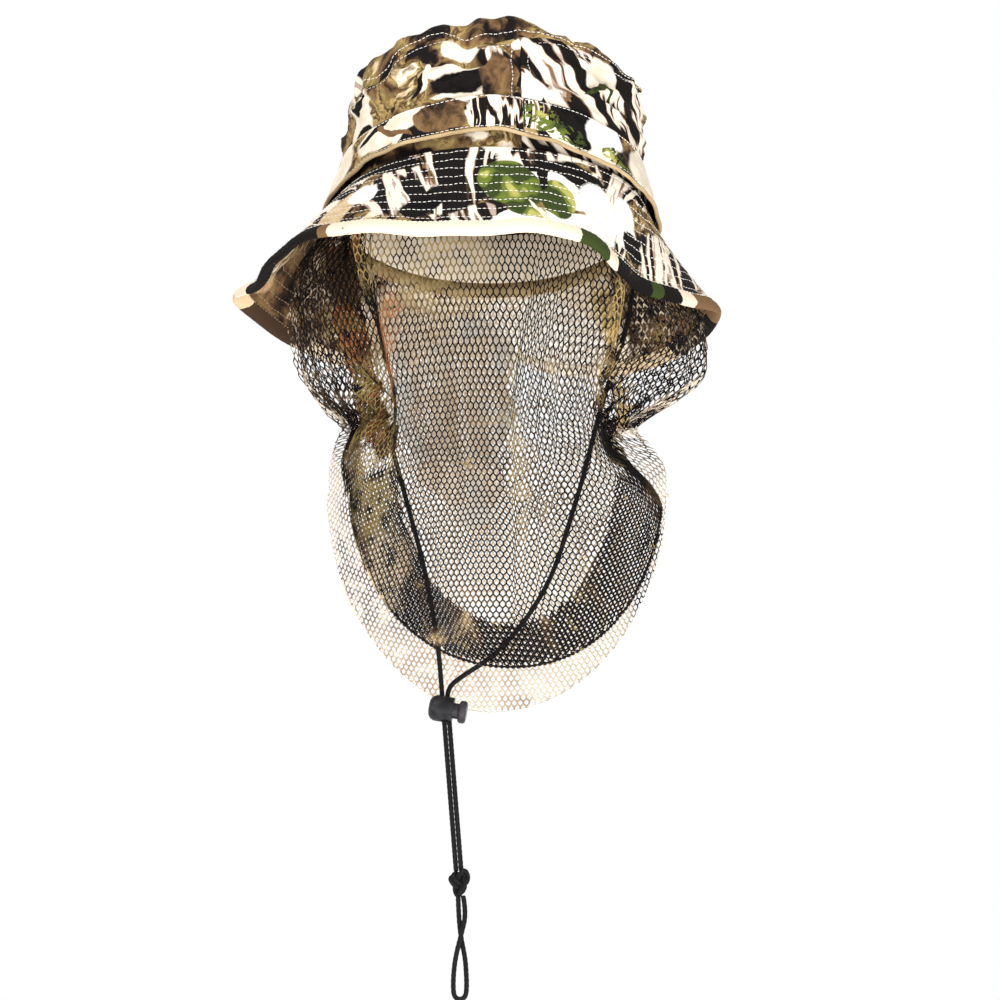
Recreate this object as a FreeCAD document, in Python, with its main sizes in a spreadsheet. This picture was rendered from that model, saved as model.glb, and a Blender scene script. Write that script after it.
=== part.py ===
"""Hat with an insect veil: soft bucket hat, hanging net and chin cord with a spring lock.

+Z is up, the front of the hat looks along -Y and +X is on the right of someone facing it.
The origin is the centre of the head opening, on the seam between crown and brim.
All lengths are millimetres and all angles degrees.
"""
import FreeCAD, Part
import math
import os
from types import SimpleNamespace

import Sketcher

V = FreeCAD.Vector

# Driving dimensions, written to the sheet as plain numbers.
DIMENSIONS = {
    # crown and its flap
    "cloth": 1.2,
    "crown_base_radius": 95.0,
    "crown_top_radius": 92.0,
    "crown_height": 80.0,
    "tip_rise": 20.0,
    "tip_shoulder_radius": 76.0,
    "tip_shoulder_drop": 4.5,
    "seam_turn": 12.0,
    "tape_thickness": 0.8,
    "tip_tape_drop": 2.0,
    "tip_tape_width": 8.0,
    "flap_top_height": 37.0,
    "flap_bottom_height": 8.0,
    "flap_flare": 4.6,
    "flap_cloth": 1.2,
    "piping_diameter": 2.2,
    "sweatband_width": 30.0,
    "sweatband_thickness": 1.4,
    "clearance": 0.3,
    "fit_gap": 0.1,
    # brim
    "flange_inner_radius": 93.6,
    "brim_bend_radius": 98.5,
    "brim_width": 74.0,
    "ply": 0.8,
    "binding_width": 9.0,
    "binding_cloth": 0.8,
    # veil
    "net_thickness": 1.0,
    "veil_top_radius": 96.2,
    "heading_tape_width": 10.0,
    "heading_ease": 1.4,
    "veil_split_height": -190.0,
    "bib_front_half_width": 98.0,
    "bib_front_centre": 10.0,
    "bib_front_depth": 143.0,
    "bib_back_half_width": 106.0,
    "bib_back_centre": 3.0,
    "bib_back_depth": 125.0,
    "hem_front_width": 26.0,
    "hem_back_width": 6.0,
    # chin cord
    "cord_diameter": 3.0,
    "strand_spacing": 3.1,
    "tab_width": 10.0,
    "tab_length": 13.0,
    "tab_thickness": 3.6,
    "tab_inner_offset": 89.2,
    "knot_height": 17.0,
    "knot_radius": 6.8,
    "knot_face_radius": 4.2,
    "knot_distance": 106.3,
    # cord lock
    "lock_tilt": 10.0,
    "barrel_radius": 8.0,
    "barrel_left": 10.4,
    "barrel_right": 4.6,
    "barrel_round": 5.0,
    "bore_radius": 5.2,
    "bore_depth": 13.8,
    "stem_radius": 4.8,
    "stem_left": 5.2,
    "head_start": 8.0,
    "head_length": 4.9,
    "head_radius": 7.0,
    "head_round": 1.8,
    "plunger_travel": 3.0,
    "cord_hole_width": 7.0,
    "cord_hole_depth": 3.9,
    "spring_wire": 0.4,
    "spring_radius": 3.4,
    "spring_turns": 2.5,
}

# Droop of the brim below the horizontal, by plan angle from +X: a mean and its harmonics,
# each a cosine and a sine amplitude. The front hangs steeply and the back stands out.
DROOP_MEAN = 50.6
DROOP_HARMONICS = [(9.3, -23.4), (5.6, -3.7), (-1.6, 1.3), (-3.2, -4.5), (-2.4, -3.9)]
BRIM_STATIONS = 48

# Net cross-sections down the veil: height, reach to the left and to the right, depth to the front
# and to the back. It bulges into pouches under the brim, more so on the right, and has a waist.
VEIL_SECTIONS = [
    (-2.7, 96.2, 96.2, 96.2, 96.2),
    (-8.0, 96.2, 96.0, 96.0, 96.2),
    (-14.0, 97.0, 96.0, 95.8, 96.6),
    (-34.0, 108.0, 99.0, 93.0, 98.0),
    (-62.0, 122.0, 106.5, 89.0, 98.0),
    (-76.0, 126.0, 110.0, 88.0, 97.0),
    (-90.0, 126.0, 128.0, 87.0, 95.0),
    (-112.0, 118.0, 128.0, 84.0, 90.0),
    (-129.0, 100.0, 102.0, 78.0, 82.0),
    (-142.0, 87.0, 86.0, 73.0, 75.0),
    (-160.0, 93.0, 93.0, 72.0, 73.0),
    (-190.0, 104.0, 110.0, 73.0, 72.0),
]
BIB_SECTIONS = [
    (-190.3, 104.0, 110.0, 73.0, 72.0),
    (-240.0, 108.0, 114.0, 69.0, 69.0),
    (-290.0, 105.0, 111.0, 63.0, 64.0),
    (-345.0, 100.0, 106.0, 58.0, 58.0),
]

# Route of each half of the chin cord, from its tab to the point where the strands meet.
LEFT_ROUTE = [
    (-91.0, 0.0, -15.5),
    (-90.0, -2.0, -61.0),
    (-80.0, -5.0, -104.0),
    (-66.5, -7.0, -141.0),
    (-58.5, -7.0, -172.0),
    (-48.4, -6.0, -212.0),
    (-41.5, -5.0, -238.5),
    (-35.3, -5.0, -272.0),
    (-31.5, -3.0, -298.0),
]
RIGHT_ROUTE = [
    (91.0, 0.0, -15.5),
    (90.0, -2.0, -61.0),
    (79.0, -4.0, -101.0),
    (68.0, -6.0, -138.0),
    (59.5, -7.0, -177.0),
    (49.6, -6.0, -212.0),
    (40.0, -5.0, -245.0),
    (27.9, -4.0, -269.0),
    (12.4, -3.0, -291.0),
    (-3.5, -1.5, -305.5),
    (-15.8, -0.5, -313.2),
]
# Route of the end loop below the knot, between the knot's two lower exits.
LOOP_ROUTE = [
    (-18.9, 0.9, -470.0),
    (-17.6, 1.8, -484.0),
    (-14.9, 1.2, -498.0),
    (-14.2, 0.2, -508.0),
    (-13.9, 0.0, -516.5),
    (-14.4, 0.0, -523.6),
    (-18.0, 0.0, -525.7),
    (-21.6, 0.0, -523.6),
    (-22.1, 0.0, -516.5),
    (-21.8, -0.2, -508.0),
    (-20.6, -1.2, -498.0),
    (-17.2, -1.8, -484.0),
    (-14.2, -0.9, -470.0),
]
LOCK_CENTRE = V(-27.0, 0.0, -336.0)
TAIL_DIRECTION = V(8.0, 0.0, -105.0).normalize()
TAIL_SIDE = V(105.0, 0.0, 8.0).normalize()
STRANDS_MEET = 14.0


class Length:
    """A number together with the expression that computes it from the sheet."""

    def __init__(self, value, text):
        self.value = value
        self.text = text

    def __add__(self, other):
        return Length(self.value + other.value, f"{self.text} + {other.text}")

    def __sub__(self, other):
        return Length(self.value - other.value, f"{self.text} - ({other.text})")

    def __mul__(self, factor):
        return Length(self.value * factor, f"({self.text}) * {factor}")

    def __neg__(self):
        return self * -1


def make_sheet(doc):
    """Write the driving dimensions and give each one back as a Length."""
    sheet = doc.addObject("Spreadsheet::Sheet", "Dims")
    lengths = {}
    for row, (name, value) in enumerate(DIMENSIONS.items(), start=1):
        sheet.set(f"A{row}", name)
        sheet.set(f"B{row}", str(value))
        sheet.setAlias(f"B{row}", name)
        lengths[name] = Length(value, f"Dims.{name}")
    doc.recompute()
    return SimpleNamespace(**lengths)


ZERO = Length(0.0, "0")

doc = FreeCAD.newDocument("insect_veil_hat")
size = make_sheet(doc)
parts = []


# ---------------------------------------------------------------- helpers
def keep(thing, label, placement=None):
    """Name a sub-part, place it and put it on the list of parts to write."""
    thing.Label = label
    if placement is not None:
        thing.Placement = placement
    parts.append(thing)
    return thing


def solid_part(label, shape, placement=None):
    feature = doc.addObject("Part::Feature", label)
    feature.Shape = shape
    return keep(feature, label, placement)


def origin_plane(body, role):
    return next(item for item in body.Origin.OriginFeatures if item.Role == role)


def profile_sketch(body, role, corners, domes=()):
    """Closed sketch through corners, each a pair of Lengths bound to the sheet.

    A segment whose index is in domes is an arc centred on the sketch's vertical axis."""
    sketch = body.newObject("Sketcher::SketchObject", body.Name + "_profile")
    sketch.AttachmentSupport = [(origin_plane(body, role), "")]
    sketch.MapMode = "FlatFace"
    count = len(corners)
    points = [V(x.value, y.value, 0) for x, y in corners]
    starts = []
    ends = []
    for index in range(count):
        first = points[index]
        second = points[(index + 1) % count]
        if index in domes:
            middle = (first.y + second.y) / 2
            rise = second.y - first.y
            centre_y = middle + (second.x**2 - first.x**2) / (2 * rise)
            centre = V(0, centre_y, 0)
            radius = (first - centre).Length
            circle = Part.Circle(centre, V(0, 0, 1), radius)
            angle_first = math.atan2(first.y - centre_y, first.x)
            angle_second = math.atan2(second.y - centre_y, second.x)
            low, high = sorted((angle_first, angle_second))
            geometry = sketch.addGeometry(Part.ArcOfCircle(circle, low, high))
            sketch.addConstraint(Sketcher.Constraint("PointOnObject", geometry, 3, -2))
            starts.append((geometry, 1 if angle_first == low else 2))
            ends.append((geometry, 2 if angle_first == low else 1))
        else:
            geometry = sketch.addGeometry(Part.LineSegment(first, second))
            starts.append((geometry, 1))
            ends.append((geometry, 2))
    for index, (x, y) in enumerate(corners):
        sketch.addConstraint(Sketcher.Constraint("Coincident", *ends[index - 1], *starts[index]))
        geometry, end = starts[index]
        for kind, axis, length in (("DistanceX", "x", x), ("DistanceY", "y", y)):
            constraint = Sketcher.Constraint(kind, -1, 1, geometry, end, length.value)
            number = sketch.addConstraint(constraint)
            name = f"{axis}{index}"
            sketch.renameConstraint(number, name)
            sketch.setExpression(f"Constraints.{name}", length.text)
    return sketch


def revolved_body(label, corners, domes=(), angle=360.0, placement=None):
    """Body turned about Z from a profile in its XZ plane."""
    body = doc.addObject("PartDesign::Body", label)
    sketch = profile_sketch(body, "XZ_Plane", corners, domes)
    turned = body.newObject("PartDesign::Revolution", label + "_turned")
    turned.Profile = sketch
    turned.ReferenceAxis = (sketch, ["V_Axis"])
    turned.Angle = angle
    sketch.Visibility = False
    doc.recompute()
    return keep(body, label, placement)


def turned_by(angle):
    return FreeCAD.Placement(V(0, 0, 0), FreeCAD.Rotation(V(0, 0, 1), angle))


# ---------------------------------------------------------------- crown
def crown_radius(height):
    """Outer radius of the crown's side at a height."""
    taper = (size.crown_top_radius - size.crown_base_radius) * (height.value / size.crown_height.value)
    return size.crown_base_radius + taper


def make_crown():
    tip_corners = [
        (ZERO, size.crown_height + size.tip_rise),
        (size.tip_shoulder_radius, size.crown_height + size.tip_rise - size.tip_shoulder_drop),
        (size.crown_top_radius, size.crown_height),
        (size.crown_top_radius - size.cloth, size.crown_height),
        (size.tip_shoulder_radius - size.cloth,
         size.crown_height + size.tip_rise - size.tip_shoulder_drop - size.cloth),
        (ZERO, size.crown_height + size.tip_rise - size.cloth),
    ]
    revolved_body("crown_tip", tip_corners, domes=(0, 4))

    side_corners = [
        (size.crown_base_radius - size.cloth, ZERO),
        (size.crown_base_radius, ZERO),
        (size.crown_top_radius, size.crown_height),
        (size.crown_top_radius - size.cloth, size.crown_height),
    ]
    for label, start in (("crown_side_right", -90.0), ("crown_side_left", 90.0)):
        placement = turned_by(start + size.seam_turn.value)
        revolved_body(label, side_corners, angle=180.0, placement=placement)

    tape_top = size.crown_height - size.tip_tape_drop
    tape_bottom = tape_top - size.tip_tape_width
    tape_outer = crown_radius(tape_top) - size.cloth - size.clearance
    tape_corners = [
        (tape_outer - size.tape_thickness, tape_bottom),
        (tape_outer, tape_bottom),
        (tape_outer, tape_top),
        (tape_outer - size.tape_thickness, tape_top),
    ]
    revolved_body("tip_seam_tape", tape_corners)


def make_flap():
    """Skirt round the crown that hides the stowed net, in two halves, with piping on its edge."""
    top_radius = crown_radius(size.flap_top_height) + size.clearance * 0.5
    bottom_radius = top_radius + size.flap_flare
    corners = [
        (top_radius, size.flap_top_height),
        (bottom_radius, size.flap_bottom_height),
        (bottom_radius + size.flap_cloth, size.flap_bottom_height),
        (top_radius + size.flap_cloth, size.flap_top_height),
    ]
    for label, start in (("flap_right", -90.0), ("flap_left", 90.0)):
        placement = turned_by(start + size.seam_turn.value)
        revolved_body(label, corners, angle=180.0, placement=placement)

    body = doc.addObject("PartDesign::Body", "flap_piping")
    sketch = body.newObject("Sketcher::SketchObject", "flap_piping_profile")
    sketch.AttachmentSupport = [(origin_plane(body, "XZ_Plane"), "")]
    sketch.MapMode = "FlatFace"
    radius = size.piping_diameter * 0.5
    ring_radius = bottom_radius + size.flap_cloth * 0.5
    ring_height = size.flap_bottom_height - radius
    centre = V(ring_radius.value, ring_height.value, 0)
    circle = sketch.addGeometry(Part.Circle(centre, V(0, 0, 1), radius.value))
    bound = (
        ("DistanceX", (-1, 1, circle, 3), ring_radius, "ring_radius"),
        ("DistanceY", (-1, 1, circle, 3), ring_height, "ring_height"),
        ("Radius", (circle,), radius, "cord_radius"),
    )
    for kind, target, length, name in bound:
        number = sketch.addConstraint(Sketcher.Constraint(kind, *target, length.value))
        sketch.renameConstraint(number, name)
        sketch.setExpression(f"Constraints.{name}", length.text)
    turned = body.newObject("PartDesign::Revolution", "flap_piping_turned")
    turned.Profile = sketch
    turned.ReferenceAxis = (sketch, ["V_Axis"])
    turned.Angle = 360.0
    keep(body, "flap_piping")


def make_sweatband():
    bottom = size.clearance
    top = bottom + size.sweatband_width
    lower_outer = crown_radius(bottom) - size.cloth - size.clearance
    upper_outer = crown_radius(top) - size.cloth - size.clearance
    corners = [
        (lower_outer - size.sweatband_thickness, bottom),
        (lower_outer, bottom),
        (upper_outer, top),
        (upper_outer - size.sweatband_thickness, top),
    ]
    revolved_body("sweatband", corners)


# ---------------------------------------------------------------- brim
def droop(turn):
    """Slope of the brim below the horizontal at a plan angle, in radians."""
    slope = DROOP_MEAN
    for order, (cosine, sine) in enumerate(DROOP_HARMONICS, start=1):
        slope += cosine * math.cos(order * turn) + sine * math.sin(order * turn)
    return math.radians(slope)


def ring_curve(point_at):
    """Closed smooth edge round the hat; point_at gives radius and height at a plan angle."""
    points = []
    for station in range(BRIM_STATIONS):
        turn = 2 * math.pi * station / BRIM_STATIONS
        radius, height = point_at(turn)
        points.append(V(radius * math.cos(turn), radius * math.sin(turn), height))
    curve = Part.BSplineCurve()
    knots = [station / BRIM_STATIONS for station in range(BRIM_STATIONS + 1)]
    curve.interpolate(Points=points, PeriodicFlag=True, Parameters=knots)
    return curve.toShape()


def ring_solid(edges):
    """Solid ring whose cross-section has its corners on the given closed edges, in order."""
    faces = []
    for first, second in zip(edges, edges[1:] + edges[:1]):
        faces.append(Part.makeRuledSurface(first, second))
    shell = Part.Shell(faces)
    shell.sewShape()
    solid = Part.Solid(shell)
    if solid.Volume < 0:
        solid.reverse()
    return solid


def on_brim(distance, lift):
    """Edge at a distance down the brim's slope and a lift off its upper face."""

    def point_at(turn):
        slope = droop(turn)
        radius = (size.brim_bend_radius.value + distance * math.cos(slope) + lift * math.sin(slope))
        height = lift * math.cos(slope) - distance * math.sin(slope)
        return radius, height

    return ring_curve(point_at)


def at_bend(depth):
    """Edge where a layer at a depth under the flange turns down into the slope."""

    def point_at(turn):
        return size.brim_bend_radius.value - depth * math.tan(droop(turn) / 2), -depth

    return ring_curve(point_at)


def at_flange(depth):
    return ring_curve(lambda turn: (size.flange_inner_radius.value, -depth))


def make_brim():
    ply = size.ply.value
    width = size.brim_width.value
    for layer, label in enumerate(("brim_top_ply", "brim_stiffener", "brim_bottom_ply")):
        upper = layer * ply
        lower = upper + ply
        edges = [
            at_flange(upper),
            at_bend(upper),
            on_brim(width, -upper),
            on_brim(width, -lower),
            at_bend(lower),
            at_flange(lower),
        ]
        solid_part(label, ring_solid(edges))

    gap = size.fit_gap.value
    cloth = size.binding_cloth.value
    start = width - size.binding_width.value
    under = 3 * ply + gap
    edges = [
        on_brim(start, gap),
        on_brim(start, gap + cloth),
        on_brim(width + gap + cloth, gap + cloth),
        on_brim(width + gap + cloth, -under - cloth),
        on_brim(start, -under - cloth),
        on_brim(start, -under),
        on_brim(width + gap, -under),
        on_brim(width + gap, gap),
    ]
    solid_part("brim_binding", ring_solid(edges))


# ---------------------------------------------------------------- veil
def half_section(left_reach, right_reach, depth, height, side, grow=0.0):
    """Crescent wire of one net panel at a height; side is -1 in front and +1 behind."""
    thick = size.net_thickness.value
    outer_depth = depth + grow
    inner_depth = outer_depth - thick
    left = V(-left_reach - grow, 0, height)
    right = V(right_reach + grow, 0, height)
    inner_left = left + V(thick, 0, 0)
    inner_right = right - V(thick, 0, 0)
    edges = [
        Part.Arc(left, V(0, side * outer_depth, height), right).toShape(),
        Part.makeLine(right, inner_right),
        Part.Arc(inner_right, V(0, side * inner_depth, height), inner_left).toShape(),
        Part.makeLine(inner_left, left),
    ]
    return Part.Wire(edges)


def net_panel(sections, side, grow=0.0):
    wires = []
    for height, left_reach, right_reach, front, back in sections:
        depth = front if side < 0 else back
        wires.append(half_section(left_reach, right_reach, depth, height, side, grow))
    return Part.makeLoft(wires, True, False)


def bib_outline(centre, half_width, depth, inset):
    """Prism, along Y, of a bib with an elliptical lower edge drawn in by an inset."""
    top = size.net_thickness.value
    width = half_width - inset
    drop = depth - inset
    middle = V(centre, 0, size.veil_split_height.value)
    ellipse = Part.Ellipse(middle + V(0, 0, -drop), middle + V(width, 0, 0), middle)
    left, right = middle + V(-width, 0, 0), middle + V(width, 0, 0)
    low = middle + V(0, 0, -drop)
    ends = sorted(ellipse.parameter(point) for point in (left, right))
    candidates = (Part.ArcOfEllipse(ellipse, ends[0], ends[1]),
                  Part.ArcOfEllipse(ellipse, ends[1], ends[0] + 2 * math.pi))
    curve = min(candidates, key=lambda arc: arc.toShape().CenterOfMass.distanceToPoint(low))
    edges = [
        curve.toShape(),
        Part.makeLine(left, left + V(0, 0, top)),
        Part.makeLine(left + V(0, 0, top), right + V(0, 0, top)),
        Part.makeLine(right + V(0, 0, top), right),
    ]
    outline = Part.Face(Part.Wire(Part.__sortEdges__(edges)))
    reach = 2 * size.veil_top_radius.value
    outline.translate(V(0, -reach, 0))
    return outline.extrude(V(0, 2 * reach, 0))


def make_veil():
    tape_outer = size.veil_top_radius - size.net_thickness - size.heading_ease
    tape_top = -(size.ply * 3)
    tape_bottom = tape_top - size.heading_tape_width
    corners = [
        (tape_outer - size.tape_thickness, tape_bottom),
        (tape_outer, tape_bottom),
        (tape_outer, tape_top),
        (tape_outer - size.tape_thickness, tape_top),
    ]
    revolved_body("veil_heading_tape", corners)

    for label, side in (("veil_upper_front", -1), ("veil_upper_back", 1)):
        solid_part(label, net_panel(VEIL_SECTIONS, side))

    grow = size.net_thickness.value + size.fit_gap.value
    bibs = (
        ("front", -1, size.bib_front_centre, size.bib_front_half_width, size.bib_front_depth,
         size.hem_front_width),
        ("back", 1, size.bib_back_centre, size.bib_back_half_width, size.bib_back_depth,
         size.hem_back_width),
    )
    for name, side, centre, half_width, depth, hem in bibs:
        outline = [centre.value, half_width.value, depth.value]
        outer = bib_outline(*outline, 0.0)
        inner = bib_outline(*outline, hem.value)
        bib = net_panel(BIB_SECTIONS, side).common(outer)
        solid_part("veil_bib_" + name, bib.Solids[0])
        band = net_panel(BIB_SECTIONS, side, grow).common(outer.cut(inner))
        solid_part("veil_hem_" + name, band.Solids[0])


# ---------------------------------------------------------------- cord
def rounded_route(points):
    """Wire of straight runs joined by the largest tangent arcs, and the arcs' radii."""
    edges = []
    radii = []
    start = points[0]
    for before, corner, after in zip(points, points[1:], points[2:]):
        incoming = corner - before
        outgoing = after - corner
        half_turn = incoming.getAngle(outgoing) / 2
        tangent = 0.45 * min(incoming.Length, outgoing.Length)
        radius = tangent / math.tan(half_turn)
        radii.append(radius)
        enter = corner - V(incoming).normalize() * tangent
        leave = corner + V(outgoing).normalize() * tangent
        inward = (V(outgoing).normalize() - V(incoming).normalize()).normalize()
        middle = corner + inward * (radius / math.cos(half_turn) - radius)
        edges.append(Part.LineSegment(start, enter).toShape())
        edges.append(Part.Arc(enter, middle, leave).toShape())
        start = leave
    edges.append(Part.LineSegment(start, points[-1]).toShape())
    return Part.Wire(edges), radii


def cord_tube(label, points):
    """Round tube along a route, checked against its section times its length."""
    wire, radii = rounded_route(points)
    radius = size.cord_diameter.value / 2
    first_run = points[1] - points[0]
    section = Part.Wire([Part.makeCircle(radius, points[0], first_run)])
    tube = wire.makePipeShell([section], True, False)
    expected = math.pi * radius**2 * wire.Length
    print(f"{label}: length {wire.Length:.1f}, volume ratio {tube.Volume / expected:.4f}")
    print("  bend radii", " ".join(f"{bend:.1f}" for bend in radii))
    if abs(tube.Volume / expected - 1) > 0.01:
        raise ValueError(label + " has the wrong volume")
    return tube


def on_tail(distance, offset):
    """Point of the doubled tail at a distance below the lock's centre."""
    return LOCK_CENTRE + TAIL_DIRECTION * distance + TAIL_SIDE * offset


def make_cord():
    half = size.strand_spacing.value / 2
    knot_top = size.knot_distance.value
    knot_bottom = knot_top + size.knot_height.value
    for label, route, side in (("chin_cord_left", LEFT_ROUTE, -1),
                               ("chin_cord_right", RIGHT_ROUTE, 1)):
        points = [V(*point) for point in route]
        points.append(on_tail(-STRANDS_MEET, side * half))
        points.append(on_tail(knot_top, side * half))
        solid_part(label, cord_tube(label, points))

    loop = [on_tail(knot_bottom, -half)]
    loop += [V(*point) for point in LOOP_ROUTE]
    loop.append(on_tail(knot_bottom, half))
    solid_part("chin_cord_loop", cord_tube("chin_cord_loop", loop))

    middle = size.knot_height * 0.5
    corners = [
        (ZERO, middle),
        (size.knot_face_radius, middle),
        (size.knot_radius, middle * 0.4),
        (size.knot_radius, -(middle * 0.4)),
        (size.knot_face_radius, -middle),
        (ZERO, -middle),
    ]
    across_tail = FreeCAD.Rotation(V(0, 0, -1), TAIL_DIRECTION)
    centre = on_tail(knot_top + size.knot_height.value / 2, 0)
    revolved_body("cord_knot", corners, placement=FreeCAD.Placement(centre, across_tail))

    for label, side in (("cord_tab_left", -1), ("cord_tab_right", 1)):
        make_tab(label, side)


def make_tab(label, side):
    """Folded webbing tab that holds one end of the chin cord under the brim's seam."""
    body = doc.addObject("PartDesign::Body", label)
    top = -(size.ply * 3)
    bottom = top - size.tab_length
    inner, outer = size.tab_inner_offset, size.tab_inner_offset + size.tab_thickness
    if side < 0:
        inner, outer = -outer, -inner
    corners = [(inner, bottom), (outer, bottom), (outer, top), (inner, top)]
    sketch = profile_sketch(body, "XZ_Plane", corners)
    pad = body.newObject("PartDesign::Pad", label + "_pad")
    pad.Profile = sketch
    pad.SideType = "Symmetric"
    pad.Length = size.tab_width.value
    pad.setExpression("Length", size.tab_width.text)
    keep(body, label)


# ---------------------------------------------------------------- cord lock
def lock_placement():
    """Frame of the lock: its X axis runs along the plunger, out of the barrel's open end."""
    return FreeCAD.Placement(LOCK_CENTRE, FreeCAD.Rotation(V(0, 1, 0), size.lock_tilt.value))


def cord_slot(label, stretch):
    """Rounded prism that clears both strands, lengthened towards the plunger's head."""
    slot = doc.addObject("Part::Box", label)
    slot.setExpression("Length", f"{size.cord_hole_width.text} + {stretch.text}")
    slot.setExpression("Width", size.cord_hole_depth.text)
    slot.setExpression("Height", f"{size.barrel_radius.text} * 4")
    local = V(-size.cord_hole_width.value / 2, -size.cord_hole_depth.value / 2,
              -2 * size.barrel_radius.value)
    upright = FreeCAD.Placement(LOCK_CENTRE, FreeCAD.Rotation(V(0, 0, -1), TAIL_DIRECTION))
    slot.Placement = upright.multiply(FreeCAD.Placement(local, FreeCAD.Rotation()))
    doc.recompute()
    rounded = doc.addObject("Part::Fillet", label + "_rounded")
    rounded.Base = slot
    radius = size.cord_hole_depth.value * 0.45
    along = [index + 1 for index, edge in enumerate(slot.Shape.Edges)
             if abs(edge.tangentAt(edge.FirstParameter).dot(TAIL_DIRECTION)) > 0.99]
    rounded.Edges = [(index, radius, radius) for index in along]
    doc.recompute()
    return rounded


def rounded_ends(body, feature, radius, choose):
    """Fillet the round edges of a turned body that choose accepts."""
    doc.recompute()
    names = []
    for index, edge in enumerate(feature.Shape.Edges):
        if isinstance(edge.Curve, Part.Circle) and choose(edge.Curve):
            names.append(f"Edge{index + 1}")
    fillet = body.newObject("PartDesign::Fillet", body.Name + "_round")
    fillet.Base = (feature, names)
    fillet.Radius = radius.value
    fillet.setExpression("Radius", radius.text)
    doc.recompute()


def turned_about_x(label, corners):
    body = doc.addObject("PartDesign::Body", label)
    sketch = profile_sketch(body, "XZ_Plane", corners)
    turned = body.newObject("PartDesign::Revolution", label + "_turned")
    turned.Profile = sketch
    turned.ReferenceAxis = (sketch, ["H_Axis"])
    turned.Angle = 360.0
    doc.recompute()
    return body, turned


def slotted(label, body, slot):
    """Sub-part left when the cord slot is cut through a turned body."""
    cut = doc.addObject("Part::Cut", label)
    cut.Base = body
    cut.Tool = slot
    before = body.Shape.Volume
    doc.recompute()
    if not cut.Shape.Volume < before - 1.0:
        raise ValueError(label + " has no cord slot")
    keep(cut, label)


def make_lock():
    left = -size.barrel_left
    right = size.barrel_right
    bore_end = right - size.bore_depth
    barrel_corners = [
        (left, ZERO),
        (left, size.barrel_radius),
        (right, size.barrel_radius),
        (right, size.bore_radius),
        (bore_end, size.bore_radius),
        (bore_end, ZERO),
    ]
    body, turned = turned_about_x("barrel_blank", barrel_corners)
    rounded_ends(body, turned, size.barrel_round,
                 lambda circle: abs(circle.Radius - size.barrel_radius.value) < 0.01
                 and circle.Center.x < 0)
    body.Placement = lock_placement()
    slotted("lock_barrel", body, cord_slot("barrel_slot", ZERO))

    stem_end = -size.stem_left
    plunger_corners = [
        (stem_end, ZERO),
        (stem_end, size.stem_radius),
        (size.head_start, size.stem_radius),
        (size.head_start, size.head_radius),
        (size.head_start + size.head_length, size.head_radius),
        (size.head_start + size.head_length, ZERO),
    ]
    body, turned = turned_about_x("plunger_blank", plunger_corners)
    rounded_ends(body, turned, size.head_round,
                 lambda circle: abs(circle.Radius - size.head_radius.value) < 0.01)
    body.Placement = lock_placement()
    slotted("lock_plunger", body, cord_slot("plunger_slot", size.plunger_travel))

    # The spring fills the bore between its end wall and the stem, just clear of both.
    room = size.spring_wire.value / 2 + size.fit_gap.value
    start = bore_end.value + room
    end = stem_end.value - room
    span = end - start
    helix = Part.makeLongHelix(span / size.spring_turns.value, span, size.spring_radius.value)
    first = helix.Edges[0]
    section = Part.makeCircle(size.spring_wire.value / 2,
                              first.valueAt(first.FirstParameter),
                              first.tangentAt(first.FirstParameter))
    coil = Part.Wire(helix.Edges).makePipeShell([Part.Wire([section])], True, True)
    in_bore = FreeCAD.Placement(V(start, 0, 0), FreeCAD.Rotation(V(0, 1, 0), 90))
    solid_part("lock_spring", coil, lock_placement().multiply(in_bore))


def check_and_write():
    doc.recompute()
    for thing in doc.Objects:
        if "Invalid" in thing.State or "Error" in thing.State:
            raise ValueError(f"{thing.Name} failed: {thing.State}")
    os.makedirs("parts", exist_ok=True)
    for thing in parts:
        shape = thing.Shape
        if shape.isNull() or not shape.isValid() or len(shape.Solids) != 1:
            raise ValueError(f"{thing.Label} is not one valid solid")
        if shape.Volume <= 0:
            raise ValueError(f"{thing.Label} is inside out")
        shape.exportStep(os.path.join("parts", thing.Label + ".step"))
    print(len(parts), "sub-parts written")


make_crown()
make_flap()
make_sweatband()
make_brim()
make_veil()
make_cord()
make_lock()
check_and_write()
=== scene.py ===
import math

import bpy
import numpy as np
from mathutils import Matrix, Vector, noise


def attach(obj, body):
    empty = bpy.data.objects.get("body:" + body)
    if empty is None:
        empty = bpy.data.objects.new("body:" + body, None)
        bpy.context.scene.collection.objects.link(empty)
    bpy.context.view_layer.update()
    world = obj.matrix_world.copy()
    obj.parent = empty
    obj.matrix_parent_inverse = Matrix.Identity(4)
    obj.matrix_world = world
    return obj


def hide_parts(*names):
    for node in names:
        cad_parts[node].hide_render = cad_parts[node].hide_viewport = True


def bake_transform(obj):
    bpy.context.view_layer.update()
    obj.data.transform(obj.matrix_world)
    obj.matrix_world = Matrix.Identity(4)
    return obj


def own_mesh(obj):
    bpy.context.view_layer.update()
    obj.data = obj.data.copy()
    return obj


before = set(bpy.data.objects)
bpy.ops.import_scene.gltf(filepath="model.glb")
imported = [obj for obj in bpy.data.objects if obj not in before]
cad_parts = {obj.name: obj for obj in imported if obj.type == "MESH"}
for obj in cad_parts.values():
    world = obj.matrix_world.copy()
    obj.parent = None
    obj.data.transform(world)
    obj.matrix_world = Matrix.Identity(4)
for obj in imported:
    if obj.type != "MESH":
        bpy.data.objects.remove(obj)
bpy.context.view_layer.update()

# Shapes are worked out in millimetres, in the frame's axes, and scaled once when a mesh is made.
MM = 0.001

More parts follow.
